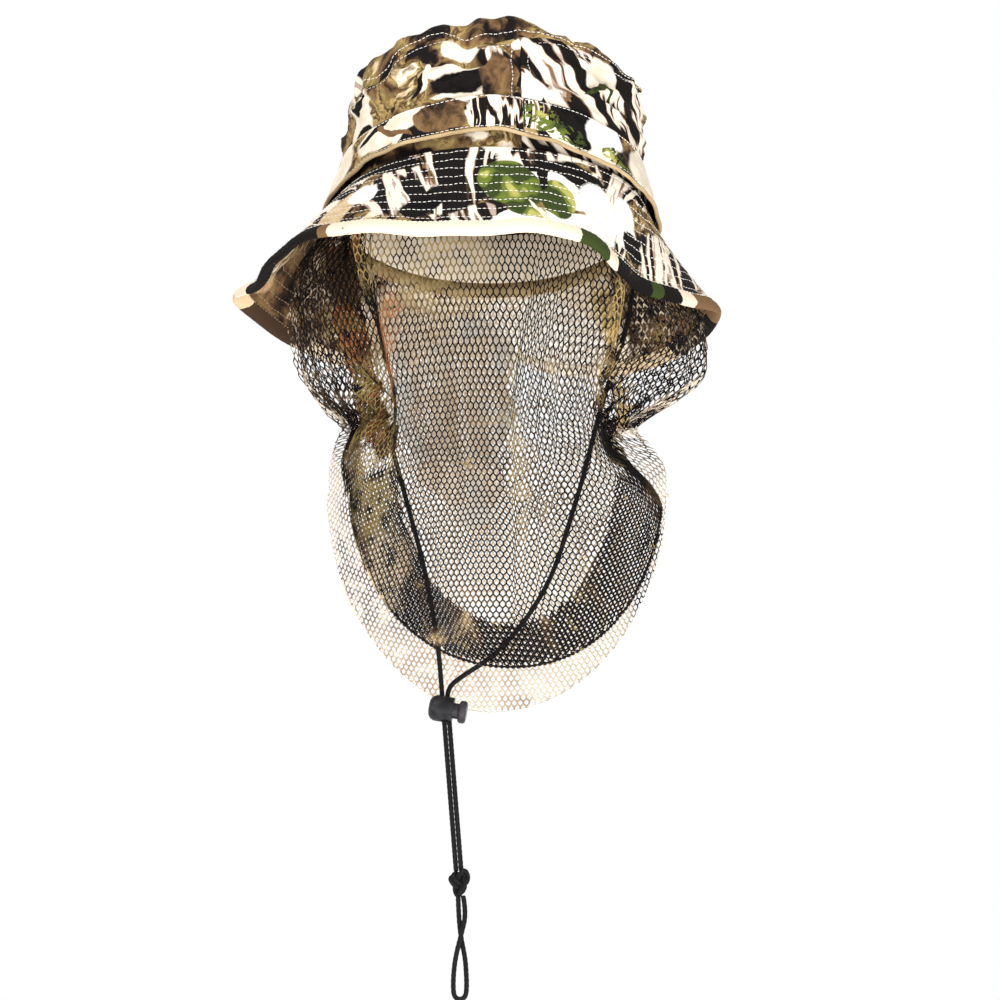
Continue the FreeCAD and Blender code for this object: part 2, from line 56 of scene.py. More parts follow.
# ---------------------------------------------------------------- camera, light and floor
SENSOR_WIDTH = 36
VIEW_WIDTH = 0.62
CAMERA_DISTANCE = 5.0
CAMERA_ELEVATION = math.radians(-24)
LOOK_AT = Vector((0.0062, 0.0, -0.1955))
FLOOR_HEIGHT = -2.6
FLOOR_SIZE = 120
# name, place in metres, power in watts and size in metres
LIGHTS = [("key", (-1.5, -2.4, 1.9), 55, 1.0), ("fill", (0.5, -1.8, -2.2), 105, 1.4),
          ("back", (0.6, 2.6, 1.2), 20, 1.8)]


def make_camera():
    data = bpy.data.cameras.new("camera")
    data.sensor_width = SENSOR_WIDTH
    data.lens = SENSOR_WIDTH * CAMERA_DISTANCE / VIEW_WIDTH
    data.clip_end = 100
    camera = bpy.data.objects.new("camera", data)
    bpy.context.collection.objects.link(camera)
    back = Vector((0, -math.cos(CAMERA_ELEVATION), math.sin(CAMERA_ELEVATION)))
    camera.location = LOOK_AT + back * CAMERA_DISTANCE
    camera.rotation_euler = (-back).to_track_quat("-Z", "Y").to_euler()
    bpy.context.scene.camera = camera


def area_light(name, place, power, size):
    data = bpy.data.lights.new(name, "AREA")
    data.energy = power
    data.size = size
    lamp = bpy.data.objects.new(name, data)
    bpy.context.collection.objects.link(lamp)
    lamp.location = place
    lamp.rotation_euler = (LOOK_AT - lamp.location).to_track_quat("-Z", "Y").to_euler()


def make_studio():
    world = bpy.data.worlds.new("studio")
    bpy.context.scene.world = world
    world.use_nodes = True
    backdrop = world.node_tree.nodes["Background"]
    backdrop.inputs["Color"].default_value = (1, 1, 1, 1)
    backdrop.inputs["Strength"].default_value = 1.0
    bpy.context.scene.view_settings.view_transform = "Standard"
    for light in LIGHTS:
        area_light(*light)
    bpy.ops.mesh.primitive_plane_add(size=FLOOR_SIZE, location=(0, 0, FLOOR_HEIGHT))
    floor = bpy.context.object
    floor.name = "floor"
    paint = bpy.data.materials.new("floor")
    paint.use_nodes = True
    shader = paint.node_tree.nodes["Principled BSDF"]
    shader.inputs["Base Color"].default_value = (0.97, 0.97, 0.97, 1)
    shader.inputs["Roughness"].default_value = 0.9
    floor.data.materials.append(paint)


# ---------------------------------------------------------------- mesh helpers
def make_mesh(name, points, faces, material, body, replaces=(), cloth=None):
    """A piece from points in millimetres; cloth holds flat coordinates, one a point, for its print."""
    mesh = bpy.data.meshes.new(name)
    mesh.from_pydata((np.asarray(points, float) * MM).tolist(), [], [list(f) for f in faces])
    if cloth is not None:
        attribute = mesh.attributes.new("cloth", "FLOAT_VECTOR", "POINT")
        attribute.data.foreach_set("vector", np.asarray(cloth, np.float32).ravel())
    mesh.polygons.foreach_set("use_smooth", [True] * len(mesh.polygons))
    mesh.materials.append(material)
    mesh.update()
    piece = bpy.data.objects.new(name, mesh)
    bpy.context.collection.objects.link(piece)
    if body:
        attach(piece, body)
    if replaces:
        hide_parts(*replaces)
    return piece


def grid_faces(rows, columns, start=0, around=False, flip=False):
    """Quads of a grid of points stored row by row; around joins its last column to its first."""
    row, column = np.meshgrid(np.arange(rows - 1), np.arange(columns - (not around)), indexing="ij")
    following = (column + 1) % columns
    corners = [row * columns + column, row * columns + following,
               (row + 1) * columns + following, (row + 1) * columns + column]
    faces = np.stack([c.ravel() for c in corners], 1) + start
    return faces[:, ::-1] if flip else faces


def strip_faces(one, other, around=False, flip=False):
    """Quads between two equally long lists of point numbers."""
    one, other = np.asarray(one), np.asarray(other)
    following = (np.roll(one, -1), np.roll(other, -1))
    faces = np.stack([one, following[0], following[1], other], 1)
    if not around:
        faces = faces[:-1]
    return faces[:, ::-1] if flip else faces


def shell(outer, inner, around=False):
    """Points and faces of closed cloth between two grids of points; around joins its side edges."""
    rows, columns = outer.shape[:2]
    count = rows * columns
    index = np.arange(count).reshape(rows, columns)
    faces = [grid_faces(rows, columns, 0, around), grid_faces(rows, columns, count, around, flip=True)]
    faces.append(strip_faces(index[0], index[0] + count, around, flip=True))
    faces.append(strip_faces(index[-1], index[-1] + count, around))
    if not around:
        faces.append(strip_faces(index[:, 0], index[:, 0] + count))
        faces.append(strip_faces(index[:, -1], index[:, -1] + count, flip=True))
    points = np.concatenate([outer.reshape(-1, 3), inner.reshape(-1, 3)])
    return points, np.concatenate(faces)


def lengths(path):
    """Distance along a path from its start to each of its points."""
    return np.concatenate([[0], np.cumsum(np.linalg.norm(np.diff(path, axis=0), axis=1))])


def round_points(radius, angle, height):
    """Points at a radius, an angle round the upright axis and a height."""
    return np.stack(np.broadcast_arrays(radius * np.cos(angle), radius * np.sin(angle), height), -1)


def full_turn(count):
    """Angles all round the hat, evenly spaced."""
    return np.linspace(-math.pi, math.pi, count, endpoint=False)


def frames_along(path, closed):
    """Two unit normals that turn as little as possible along a path, at each of its points."""
    path = np.asarray(path, float)
    if closed:
        tangent = np.roll(path, -1, 0) - np.roll(path, 1, 0)
    else:
        tangent = np.gradient(path, axis=0)
    tangent /= np.linalg.norm(tangent, axis=1)[:, None]
    start = np.cross(tangent[0], (0.0, 1.0, 0.0))
    if np.linalg.norm(start) < 0.2:
        start = np.cross(tangent[0], (1.0, 0.0, 0.0))
    normals = [start / np.linalg.norm(start)]
    for direction in tangent[1:]:
        carried = normals[-1] - direction * np.dot(normals[-1], direction)
        normals.append(carried / np.linalg.norm(carried))
    normals = np.array(normals)
    return normals, np.cross(tangent, normals)


def tube(path, radius, sides, closed=False, relief=None):
    """Points and faces of a tube; relief(distance, turn) scales its radius."""
    path = np.asarray(path, float)
    normal, binormal = frames_along(path, closed)
    distance = lengths(path)[:, None]
    turn = np.arange(sides)[None, :] * 2 * math.pi / sides
    reach = np.broadcast_to(np.asarray(radius, float).reshape(-1, 1), (len(path), sides))
    if relief is not None:
        reach = reach * relief(distance, turn)
    points = (path[:, None] + normal[:, None] * (reach * np.cos(turn))[..., None]
              + binormal[:, None] * (reach * np.sin(turn))[..., None])
    rows = len(path)
    faces = [grid_faces(rows, sides, 0, around=True)]
    if closed:
        index = np.arange(rows * sides).reshape(rows, sides)
        faces.append(strip_faces(index[-1], index[0], around=True))
    faces = [list(f) for part in faces for f in part]
    if not closed:
        faces.append(list(range(sides))[::-1])
        faces.append(list(range((rows - 1) * sides, rows * sides)))
    return points.reshape(-1, 3), faces


def joined(parts):
    """Points and faces of several (points, faces) as one."""
    points, faces, start = [], [], 0
    for some, their in parts:
        points.append(np.asarray(some, float))
        faces.extend([[int(i) + start for i in f] for f in their])
        start += len(some)
    return np.concatenate(points), faces


def resampled(path, spacing, closed=False):
    """The path's points again, evenly spaced."""
    path = np.asarray(path, float)
    if closed:
        path = np.concatenate([path, path[:1]])
    distance = lengths(path)
    count = max(2, int(round(distance[-1] / spacing)) + 1)
    at = np.linspace(0, distance[-1], count)
    if closed:
        at = at[:-1]
    return np.stack([np.interp(at, distance, path[:, k]) for k in range(3)], 1)


def grain(points, size, seed, octaves):
    """Smooth noise from -1 to 1 at points in millimetres, with features of about size millimetres."""
    shift = Vector((seed * 3.7, seed * 1.3, seed * 7.1))
    values = [noise.fractal(Vector(p) / size + shift, 0.8, 2.1, octaves) for p in points.reshape(-1, 3)]
    return np.array(values).reshape(points.shape[:-1])


def bump(value, centre, width):
    return np.exp(-((value - centre) / width) ** 2)


STITCH = 3.0
STITCH_GAP = 0.16
SEWING_THREAD = 0.22


def stitches(rows):
    """Sewn thread: for each row a path and its outward normals, as one small grain for each stitch."""
    points, faces = [], []
    for path, normals in rows:
        steps = lengths(path)
        starts = np.arange(STITCH_GAP, steps[-1] - STITCH, STITCH + STITCH_GAP)
        for begin in starts:
            at = [np.array([np.interp(begin + part * STITCH, steps, path[:, k]) for k in range(3)])
                  for part in (0, 0.25, 0.75, 1)]
            normal = np.array([np.interp(begin + STITCH / 2, steps, normals[:, k]) for k in range(3)])
            normal /= np.linalg.norm(normal)
            along = at[3] - at[0]
            across = np.cross(normal, along / np.linalg.norm(along)) * SEWING_THREAD
            up = normal * SEWING_THREAD
            base = len(points)
            points.append(at[0] - up)
            for middle in at[1:3]:
                points.extend([middle + across, middle + up * 1.3, middle - across, middle - up])
            points.append(at[3] - up)
            for k in range(4):
                after = (k + 1) % 4
                faces.append([base, base + 1 + k, base + 1 + after])
                faces.append([base + 1 + k, base + 5 + k, base + 5 + after, base + 1 + after])
                faces.append([base + 9, base + 5 + after, base + 5 + k])
    return np.array(points), faces


def sewn(path, rise=0.0):
    """A row for stitches whose thread stands outward, away from the hat's axis."""
    return path, path * np.array([1, 1, rise])


# ---------------------------------------------------------------- materials
class Nodes:
    """Short names for the shader nodes used here."""

    def __init__(self, name, roughness=0.85):
        self.material = bpy.data.materials.new(name)
        self.material.use_nodes = True
        self.tree = self.material.node_tree
        self.shader = self.tree.nodes["Principled BSDF"]
        self.shader.inputs["Roughness"].default_value = roughness
        self.shader.inputs["Specular IOR Level"].default_value = 0.12

    def new(self, kind, **inputs):
        node = self.tree.nodes.new(kind)
        for key, value in inputs.items():
            self.put(node.inputs[key], value)
        return node

    def put(self, socket, value):
        if isinstance(value, bpy.types.NodeSocket):
            self.tree.links.new(value, socket)
        elif socket.type == "RGBA" and len(value) == 3:
            socket.default_value = (*value, 1)
        else:
            socket.default_value = value

    def field(self, name):
        node = self.new("ShaderNodeAttribute")
        node.attribute_name = name
        return node.outputs["Vector"]

    def place(self):
        return self.new("ShaderNodeTexCoord").outputs["Object"]

    def mapped(self, vector, shift=(0, 0, 0), turn=0.0, scale=(1, 1, 1)):
        node = self.new("ShaderNodeMapping", Vector=vector, Location=shift, Scale=scale)
        node.inputs["Rotation"].default_value = (0, 0, turn)
        return node.outputs["Vector"]

    def noise(self, vector, scale, detail, rough=0.5, distort=0.0, output="Fac"):
        node = self.new("ShaderNodeTexNoise", Vector=vector, Scale=scale, Detail=detail)
        node.inputs["Roughness"].default_value = rough
        node.inputs["Distortion"].default_value = distort
        return node.outputs[output]

    def wave(self, vector, scale, distort):
        node = self.new("ShaderNodeTexWave", Vector=vector, Scale=scale, Distortion=distort)
        return node.outputs["Fac"]

    def ramp(self, value, stops, hard=False):
        node = self.new("ShaderNodeValToRGB", Fac=value)
        colours = node.color_ramp
        colours.interpolation = "CONSTANT" if hard else "LINEAR"
        while len(colours.elements) < len(stops):
            colours.elements.new(0.5)
        for element, (at, colour) in zip(colours.elements, stops):
            element.position = at
            element.color = (*colour, 1)
        return node.outputs["Color"]

    def step(self, value, low, high):
        node = self.new("ShaderNodeMapRange", Value=value)
        node.inputs["From Min"].default_value = low
        node.inputs["From Max"].default_value = high
        return node.outputs["Result"]

    def sum(self, a, b, operation="ADD"):
        node = self.new("ShaderNodeMath")
        node.operation = operation
        self.put(node.inputs[0], a)
        self.put(node.inputs[1], b)
        return node.outputs[0]

    def shifted(self, vector, by, amount):
        """vector moved by a colour's distance from grey."""
        centred = self.new("ShaderNodeVectorMath")
        centred.operation = "SUBTRACT"
        self.put(centred.inputs[0], by)
        centred.inputs[1].default_value = (0.5, 0.5, 0.5)
        scaled = self.new("ShaderNodeVectorMath")
        scaled.operation = "MULTIPLY_ADD"
        self.put(scaled.inputs[0], centred.outputs[0])
        scaled.inputs[1].default_value = (amount,) * 3
        self.put(scaled.inputs[2], vector)
        return scaled.outputs[0]

    def length(self, vector):
        node = self.new("ShaderNodeVectorMath")
        node.operation = "LENGTH"
        self.put(node.inputs[0], vector)
        return node.outputs["Value"]

    def mix(self, share, a, b, how="MIX"):
        node = self.new("ShaderNodeMix")
        node.data_type = "RGBA"
        node.blend_type = how
        self.put(node.inputs[0], share)
        self.put(node.inputs[6], a)
        self.put(node.inputs[7], b)
        return node.outputs[2]

    def bumped(self, height, strength, distance):
        node = self.new("ShaderNodeBump", Height=height, Strength=strength, Distance=distance)
        self.tree.links.new(node.outputs["Normal"], self.shader.inputs["Normal"])

    def finish(self, colour):
        self.put(self.shader.inputs["Base Color"], colour)
        return self.material


BLACK = (0.006, 0.004, 0.004)
DARK_BROWN = (0.050, 0.027, 0.014)
BROWN = (0.18, 0.100, 0.044)
LIGHT_BROWN = (0.40, 0.27, 0.16)
OLIVE = (0.25, 0.18, 0.065)
GOLD = (0.42, 0.29, 0.11)
TAUPE = (0.44, 0.33, 0.27)
TAN = (0.64, 0.48, 0.29)
WARM = (0.94, 0.78, 0.60)
PALE = (0.80, 0.66, 0.50)
CREAM = (0.82, 0.73, 0.60)
WHITE = (0.92, 0.89, 0.83)
GREEN = (0.034, 0.052, 0.011)
MID_GREEN = (0.125, 0.165, 0.025)
LEAF = (0.44, 0.41, 0.11)
RUST = (0.28, 0.10, 0.035)


TWILL_TURN = 0.9
TWILL_RIBS = 330


def twill_ribs(nodes, cloth):
    return nodes.wave(nodes.mapped(cloth, turn=TWILL_TURN), TWILL_RIBS, 0.6)


def woven(nodes, cloth, colour):
    """The finished material: a print on twill ribs and fine fuzz, with painted shade in the grooves."""
    ribs = twill_ribs(nodes, cloth)
    threads = nodes.sum(ribs, nodes.noise(cloth, 900, 2))
    # painted shade: the colour is darker where the ribs and fuzz are low, in the grooves
    colour = nodes.mix(nodes.step(threads, 0.2, 1.9), nodes.mix(0.88, BLACK, colour), colour)
    nodes.bumped(threads, 0.35, 0.0003)
    return nodes.finish(colour)


BARK_COLOURS = [
    (0.0, TAUPE), (0.33, DARK_BROWN), (0.36, BLACK), (0.47, DARK_BROWN), (0.485, TAUPE), (0.50, CREAM),
    (0.56, TAUPE), (0.575, BROWN), (0.59, BLACK), (0.66, CREAM)]
LITTER_COLOURS = [
    (0.0, BLACK), (0.39, BLACK), (0.43, DARK_BROWN), (0.47, BROWN), (0.51, OLIVE), (0.535, GOLD),
    (0.55, BROWN), (0.575, DARK_BROWN), (0.60, OLIVE), (0.63, TAN), (0.66, CREAM), (0.71, BROWN)]
LEAF_COLOURS = [(0.46, GREEN), (0.53, MID_GREEN), (0.60, MID_GREEN), (0.66, LEAF)]
BROWN_COLOURS = [(0.36, BLACK), (0.45, DARK_BROWN), (0.56, BROWN), (0.68, OLIVE)]


def bark_print(nodes, cloth, turn, size=52):
    """Long streaks of bark, turned anticlockwise by some degrees from upright."""
    turned = nodes.mapped(cloth, turn=math.radians(-turn))
    along = nodes.mapped(turned, scale=(1, 0.14, 1))
    streaks = nodes.noise(along, size, 3, 0.52, 0.3)
    return nodes.ramp(streaks, BARK_COLOURS, hard=True)


def placed(nodes, cloth, centre, radii, turn, soft):
    """1 inside a ragged ellipse on the cloth, 0 outside; sizes in millimetres, turn in degrees."""
    local = nodes.mapped(cloth, shift=(-centre[0] * MM, -centre[1] * MM, 0))
    local = nodes.mapped(local, turn=math.radians(-turn))
    local = nodes.mapped(local, scale=(1 / MM / radii[0], 1 / MM / radii[1], 0))
    return nodes.step(nodes.length(local), 1 + soft, 1 - soft)


def camouflage(name, patches, bark_turn, shift, bark_level):
    """A realistic woodland print: leaf litter, streaks of bark and pale patches.

    patches are (centre, radii, turn, paint) and lie over the random print in their order; paint is a
    colour, "leaf", "sprig", "litter", "brown", ("bark", turn) or ("bark", turn, size)."""
    nodes = Nodes(name)
    cloth = nodes.field("cloth")
    print_at = nodes.mapped(cloth, shift=shift)
    drift = nodes.noise(print_at, 24, 2, output="Color")
    bent = nodes.shifted(print_at, drift, 0.028)
    fine = nodes.noise(print_at, 120, 4, 0.6, output="Color")
    ragged = nodes.shifted(bent, fine, 0.006)
    coarse = nodes.noise(cloth, 46, 2, 0.5, output="Color")
    near = nodes.shifted(nodes.shifted(cloth, coarse, 0.012), fine, 0.004)
    calm = nodes.shifted(cloth, coarse, 0.006)

    swirl = nodes.noise(ragged, 27, 4, 0.58, 0.7)
    flakes = nodes.new("ShaderNodeTexVoronoi", Vector=ragged, Scale=46)
    cells = nodes.new("ShaderNodeSeparateColor", Color=flakes.outputs["Color"])
    tone = nodes.sum(swirl, nodes.sum(nodes.sum(cells.outputs["Red"], 0.5, "SUBTRACT"), 0.16, "MULTIPLY"))
    litter = nodes.ramp(tone, LITTER_COLOURS)
    bark = bark_print(nodes, nodes.shifted(print_at, drift, 0.016), bark_turn)
    region = nodes.noise(nodes.shifted(print_at, drift, 0.05), 15, 2, 0.5)
    colour = nodes.mix(nodes.step(region, bark_level - 0.01, bark_level + 0.01), litter, bark)
    blots = nodes.noise(ragged, 22, 2, 0.45)
    colour = nodes.mix(nodes.step(blots, 0.625, 0.635), colour, CREAM)
    colour = nodes.mix(nodes.step(blots, 0.365, 0.355), colour, BLACK)

    mottle = nodes.noise(cloth, 90, 5, 0.65)
    leaf = nodes.ramp(nodes.noise(cloth, 55, 1, 0.4, 0.5), LEAF_COLOURS)
    brown = nodes.ramp(nodes.noise(nodes.mapped(ragged, scale=(1, 0.4, 1)), 80, 4, 0.6), BROWN_COLOURS)
    sprigs = nodes.step(nodes.noise(ragged, 210, 2, 0.6), 0.49, 0.50)
    prints = {"leaf": leaf, "sprig": leaf, "litter": litter, "brown": brown}
    for centre, radii, turn, paint in patches:
        soft = 0.06 if isinstance(paint, tuple) and paint[0] != "bark" else 0.03
        inside = placed(nodes, calm if paint == "leaf" else near, centre, radii, turn, soft)
        if paint == "sprig":
            inside = nodes.sum(inside, sprigs, "MULTIPLY")
        if paint in prints:
            over = prints[paint]
        elif paint[0] == "bark":
            over = bark_print(nodes, nodes.shifted(cloth, drift, 0.010), *paint[1:])
        else:
            shade = [c ** 1.25 * 0.92 for c in paint]
            over = nodes.mix(nodes.step(mottle, 0.56, 0.46), shade, paint)
        colour = nodes.mix(inside, colour, over)

    return woven(nodes, cloth, colour)


def plain_cloth(name, colour, other, size=60, roughness=0.9):
    """Dyed twill whose colour drifts to another in stains, with painted shade in the twill's grooves."""
    nodes = Nodes(name, roughness)
    cloth = nodes.field("cloth")
    ribs = twill_ribs(nodes, cloth)
    fuzz = nodes.noise(cloth, 700, 3)
    stain = nodes.noise(cloth, size, 4)
    shade = nodes.mix(nodes.step(stain, 0.35, 0.65), colour, other)
    # painted shade: darker where the ribs are low, in the grooves
    shade = nodes.mix(nodes.step(ribs, 0.0, 0.5), nodes.mix(0.7, BLACK, shade), shade)
    nodes.bumped(nodes.sum(ribs, fuzz), 0.4, 0.0003)
    return nodes.finish(shade)


EDGE_RADIUS = 150.0
# the binding's colours by degrees round the edge from the front, anticlockwise from above
# From 146 round to -150 degrees, at the back, the cream is painted light: a lighter colour that offsets the
# shade on the binding's lower side.
BINDING_COLOURS = [(-180, CREAM), (-150, PALE), (-132, DARK_BROWN), (-106, TAN), (-98, PALE), (-90, BLACK),
                   (-48, BROWN), (-45, PALE), (26, GREEN), (39, PALE), (44.5, BLACK), (66.5, GREEN),
                   (71, BLACK), (78.5, PALE), (84, BROWN), (104, BLACK), (126, TAN), (146, CREAM)]


def binding_cloth():
    """The binding's print changes along the brim's edge: cloth's x runs along it from the front."""
    nodes = Nodes("camouflage_binding")
    cloth = nodes.field("cloth")
    ragged = nodes.shifted(cloth, nodes.noise(cloth, 130, 3, output="Color"), 0.008)
    split = nodes.new("ShaderNodeSeparateXYZ", Vector=ragged)
    edge = math.pi * EDGE_RADIUS * MM
    turn = nodes.step(split.outputs["X"], -edge, edge)
    stops = [((degrees + 180) / 360, colour) for degrees, colour in BINDING_COLOURS]
    colour = nodes.ramp(turn, stops, hard=True)
    spots = nodes.noise(ragged, 60, 3, 0.6)
    colour = nodes.mix(nodes.step(spots, 0.66, 0.68), colour, BROWN)
    return woven(nodes, cloth, colour)


def net_threads(name, ground, patches=(), spots=()):
    """Printed net: ground is a ramp over smooth noise; patches lie over it, then small spots."""
    nodes = Nodes(name, 0.8)
    cloth = nodes.field("cloth")
    drift = nodes.noise(cloth, 30, 2, output="Color")
    bent = nodes.shifted(cloth, drift, 0.03)
    colour = nodes.ramp(nodes.noise(bent, 19, 3, 0.6), ground)
    near = nodes.shifted(cloth, nodes.noise(cloth, 60, 4, 0.65, output="Color"), 0.030)
    broken = nodes.step(nodes.noise(cloth, 85, 3, 0.65), 0.40, 0.52)
    for centre, radii, turn, paint in patches:
        inside = nodes.sum(placed(nodes, near, centre, radii, turn, 0.25), broken, "MULTIPLY")
        colour = nodes.mix(inside, colour, paint)
    for number, (level, paint) in enumerate(spots):
        place = nodes.mapped(bent, shift=(0.3 + number, 0.1, 0))
        value = nodes.noise(place, 70, 3, 0.6)
        colour = nodes.mix(nodes.step(value, level, level + 0.03), colour, paint)
    fibre = nodes.noise(nodes.place(), 2600, 2)
    colour = nodes.mix(nodes.step(fibre, 0.2, 0.8), nodes.mix(0.75, BLACK, colour), colour)
    nodes.bumped(fibre, 0.4, 0.0002)
    return nodes.finish(colour)


def moulded(name, colour, roughness):
    """Plastic or webbing with fine specks and a little wear."""
    nodes = Nodes(name, roughness)
    place = nodes.place()
    speck = nodes.noise(place, 1500, 3)
    wear = nodes.noise(place, 160, 4)
    shade = nodes.mix(nodes.step(wear, 0.45, 0.7), colour, [c * 1.7 + 0.01 for c in colour])
    nodes.bumped(speck, 0.25, 0.0002)
    return nodes.finish(shade)


def braid_material():
    nodes = Nodes("braid_black", 0.7)
    cloth = nodes.field("cloth")
    strands = nodes.wave(nodes.mapped(cloth), 500, 1.0)
    fuzz = nodes.noise(nodes.place(), 2200, 3)
    shade = nodes.mix(nodes.step(fuzz, 0.3, 0.8), (0.002, 0.002, 0.002), (0.014, 0.013, 0.013))
    nodes.bumped(nodes.sum(strands, fuzz), 0.5, 0.0002)
    return nodes.finish(shade)


def steel():
    nodes = Nodes("spring_wire", 0.3)
    nodes.shader.inputs["Metallic"].default_value = 1.0
    drawn = nodes.noise(nodes.mapped(nodes.place(), scale=(1, 1, 12)), 900, 2)
    nodes.bumped(drawn, 0.2, 0.0001)
    return nodes.finish(nodes.mix(drawn, (0.42, 0.42, 0.43), (0.6, 0.6, 0.61)))


# ---------------------------------------------------------------- chin cord
CORD = 3.0
LOCK_CENTRE = np.array([-27.0, 0.0, -336.0])
LOCK_TILT = math.radians(10)
BARREL = np.array([math.cos(LOCK_TILT), 0.0, -math.sin(LOCK_TILT)])
BARREL_UP = np.array([math.sin(LOCK_TILT), 0.0, math.cos(LOCK_TILT)])
# the doubled cord leans this far to the right over this fall
LEAN = 8.0
FALL = 105.0
TAIL = np.array([LEAN, 0.0, -FALL]) / math.hypot(LEAN, FALL)
TAIL_SIDE = np.array([FALL, 0.0, LEAN]) / math.hypot(LEAN, FALL)
# half of the distance between its two strands, and the knot's ends below the lock's centre
STRAND = 1.55
KNOT_TOP = 106.3
KNOT_HALF = 8.5
KNOT_FOOT = 123.3
# size of the knot's turns across the tail, along it and towards the front, and half of the
# distance between its two strands in the same directions
KNOT_SCALE = np.array([1.6, 2.55, 2.3])
KNOT_SHIFT = np.array([0.9, 0.7, 0.55])
PATH_STEP = 0.5
CORD_SIDES = 16
KNOT_SIDES = 14


def on_tail(distance, offset):
    """A place on the doubled cord, some way below the lock's centre and beside the middle line."""
    return tuple(LOCK_CENTRE + TAIL * distance + TAIL_SIDE * offset)


LEFT_ROUTE = [
    (-91, 0, -15.5), (-90, -2, -61), (-80, -5, -104), (-66.5, -7, -141), (-58.5, -7, -172),
    (-48.4, -6, -212), (-41.5, -5, -238.5), (-35.3, -5, -272), (-31.5, -3, -298),
    on_tail(-14, -STRAND), on_tail(1, -STRAND), on_tail(90, -STRAND), on_tail(KNOT_TOP, -STRAND)]
RIGHT_ROUTE = [
    (91, 0, -15.5), (90, -2, -61), (79, -4, -101), (68, -6, -138), (59.5, -7, -177),
    (49.6, -6, -212), (40, -5, -245), (27.9, -4, -269), (12.4, -3, -291), (-3.5, -1.5, -305.5),
    (-15.8, -0.5, -313.2), on_tail(-14, STRAND), on_tail(1, STRAND), on_tail(90, STRAND),
    on_tail(KNOT_TOP, STRAND)]
LOOP_ROUTE = [
    on_tail(KNOT_FOOT, -STRAND), (-18.9, 0.9, -470), (-17.6, 1.8, -484), (-14.9, 1.2, -498),
    (-14.2, 0.2, -508), (-13.9, 0, -516.5), (-14.4, 0, -523.6), (-18, 0, -525.7), (-21.6, 0, -523.6),
    (-22.1, 0, -516.5), (-21.8, -0.2, -508), (-20.6, -1.2, -498), (-17.2, -1.8, -484),
    (-14.2, -0.9, -470), on_tail(KNOT_FOOT, STRAND)]


def spline_points(route):
    """Points in millimetres along the smooth line that a route's points control."""
    curve = bpy.data.curves.new("route", "CURVE")
    curve.dimensions = "3D"
    curve.resolution_u = 24
    line = curve.splines.new("NURBS")
    line.points.add(len(route) - 1)
    for point, place in zip(line.points, route):
        point.co = (*[c * MM for c in place], 1)
    line.order_u = 3
    line.use_endpoint_u = True
    holder = bpy.data.objects.new("route", curve)
    mesh = bpy.data.meshes.new_from_object(holder)
    points = np.array([v.co for v in mesh.vertices]) / MM
    bpy.data.objects.remove(holder)
    bpy.data.curves.remove(curve)
    bpy.data.meshes.remove(mesh)
    return points


def braid_relief(distance, turn):
    """Eight carriers crossing round the cord."""
    pitch = 2 * math.pi / 7.0
    one = np.abs(np.sin(2 * turn + distance * pitch))
    other = np.abs(np.sin(2 * turn - distance * pitch))
    return 0.93 + 0.09 * np.maximum(one, other)


def braided(path, radius, sides, closed=False):
    return tube(path, radius, sides, closed, relief=braid_relief)


def along_field(path, sides):
    """Cloth coordinates of a tube's points: length along it and turn round it, in metres."""
    steps = lengths(path)
    turn = np.arange(sides) * CORD * math.pi / sides
    field = np.zeros((len(path), sides, 3))
    field[..., 0] = steps[:, None]
    field[..., 1] = turn[None]
    return field.reshape(-1, 3) * MM


def make_knot(black):
    """Overhand knot of the doubled cord: two trefoil turns side by side across the tail."""
    turn = np.linspace(0, 2 * math.pi, 120, endpoint=False)
    flat = np.stack([np.sin(turn) + 2 * np.sin(2 * turn), np.cos(turn) - 2 * np.cos(2 * turn),
                     -np.sin(3 * turn)], 1)
    middle = LOCK_CENTRE + TAIL * (KNOT_TOP + KNOT_HALF)
    front = np.array([0.0, -1.0, 0.0])
    parts, fields = [], []
    for side in (-1, 1):
        local = (flat + np.array([0, 0.47, 0])) * KNOT_SCALE + side * KNOT_SHIFT
        path = (middle + local[:, :1] * TAIL_SIDE + local[:, 1:2] * -TAIL + local[:, 2:] * front)
        path = resampled(path, PATH_STEP, closed=True)
        parts.append(braided(path, 1.42, KNOT_SIDES, closed=True))
        fields.append(along_field(path, KNOT_SIDES))
    points, faces = joined(parts)
    return make_mesh("knot_of_cord", points, faces, black, "hat", ["cord_knot"],
                     np.concatenate(fields))


def make_cords(spring):
    black = braid_material()
    lock = [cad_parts["lock_barrel"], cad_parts["lock_plunger"], spring]
    knot = make_knot(black)
    tabs = [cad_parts[name] for name in ("cord_tab_left", "cord_tab_right")]
    cords = [("chin_cord_left", LEFT_ROUTE, 0.4348, [tabs[0], knot, *lock]),
             ("chin_cord_right", RIGHT_ROUTE, 0.4591, [tabs[1]]),
             ("chin_cord_loop", LOOP_ROUTE, 0.1381, [])]
    for name, route, length, extra in cords:
        path = resampled(spline_points(route), PATH_STEP)
        points, faces = braided(path, CORD / 2, CORD_SIDES)
        piece = make_mesh(name + "_braid", points, faces, black, "hat", [name],
                          along_field(path, CORD_SIDES))


# ---------------------------------------------------------------- crown, flap and bands
# points all round the hat, round half of it, and along a row of stitches
AROUND = 480
HALF_AROUND = 361
ROW_POINTS = 900
# degrees at which the front seam stands; the rear one is opposite
SEAM = -78.0
HEAD_RADIUS = 95.0
# thickness of the crown's cloth
CLOTH = 1.1
# the radius on which the crown's print is laid out
PRINT_RADIUS = 92


def turns(start, end, count):
    return np.radians(np.linspace(start, end, count))


def wrapped(angle, centre):
    """Degrees from centre, from -180 to 180, of angles in radians."""
    return (np.degrees(angle) - centre + 180) % 360 - 180


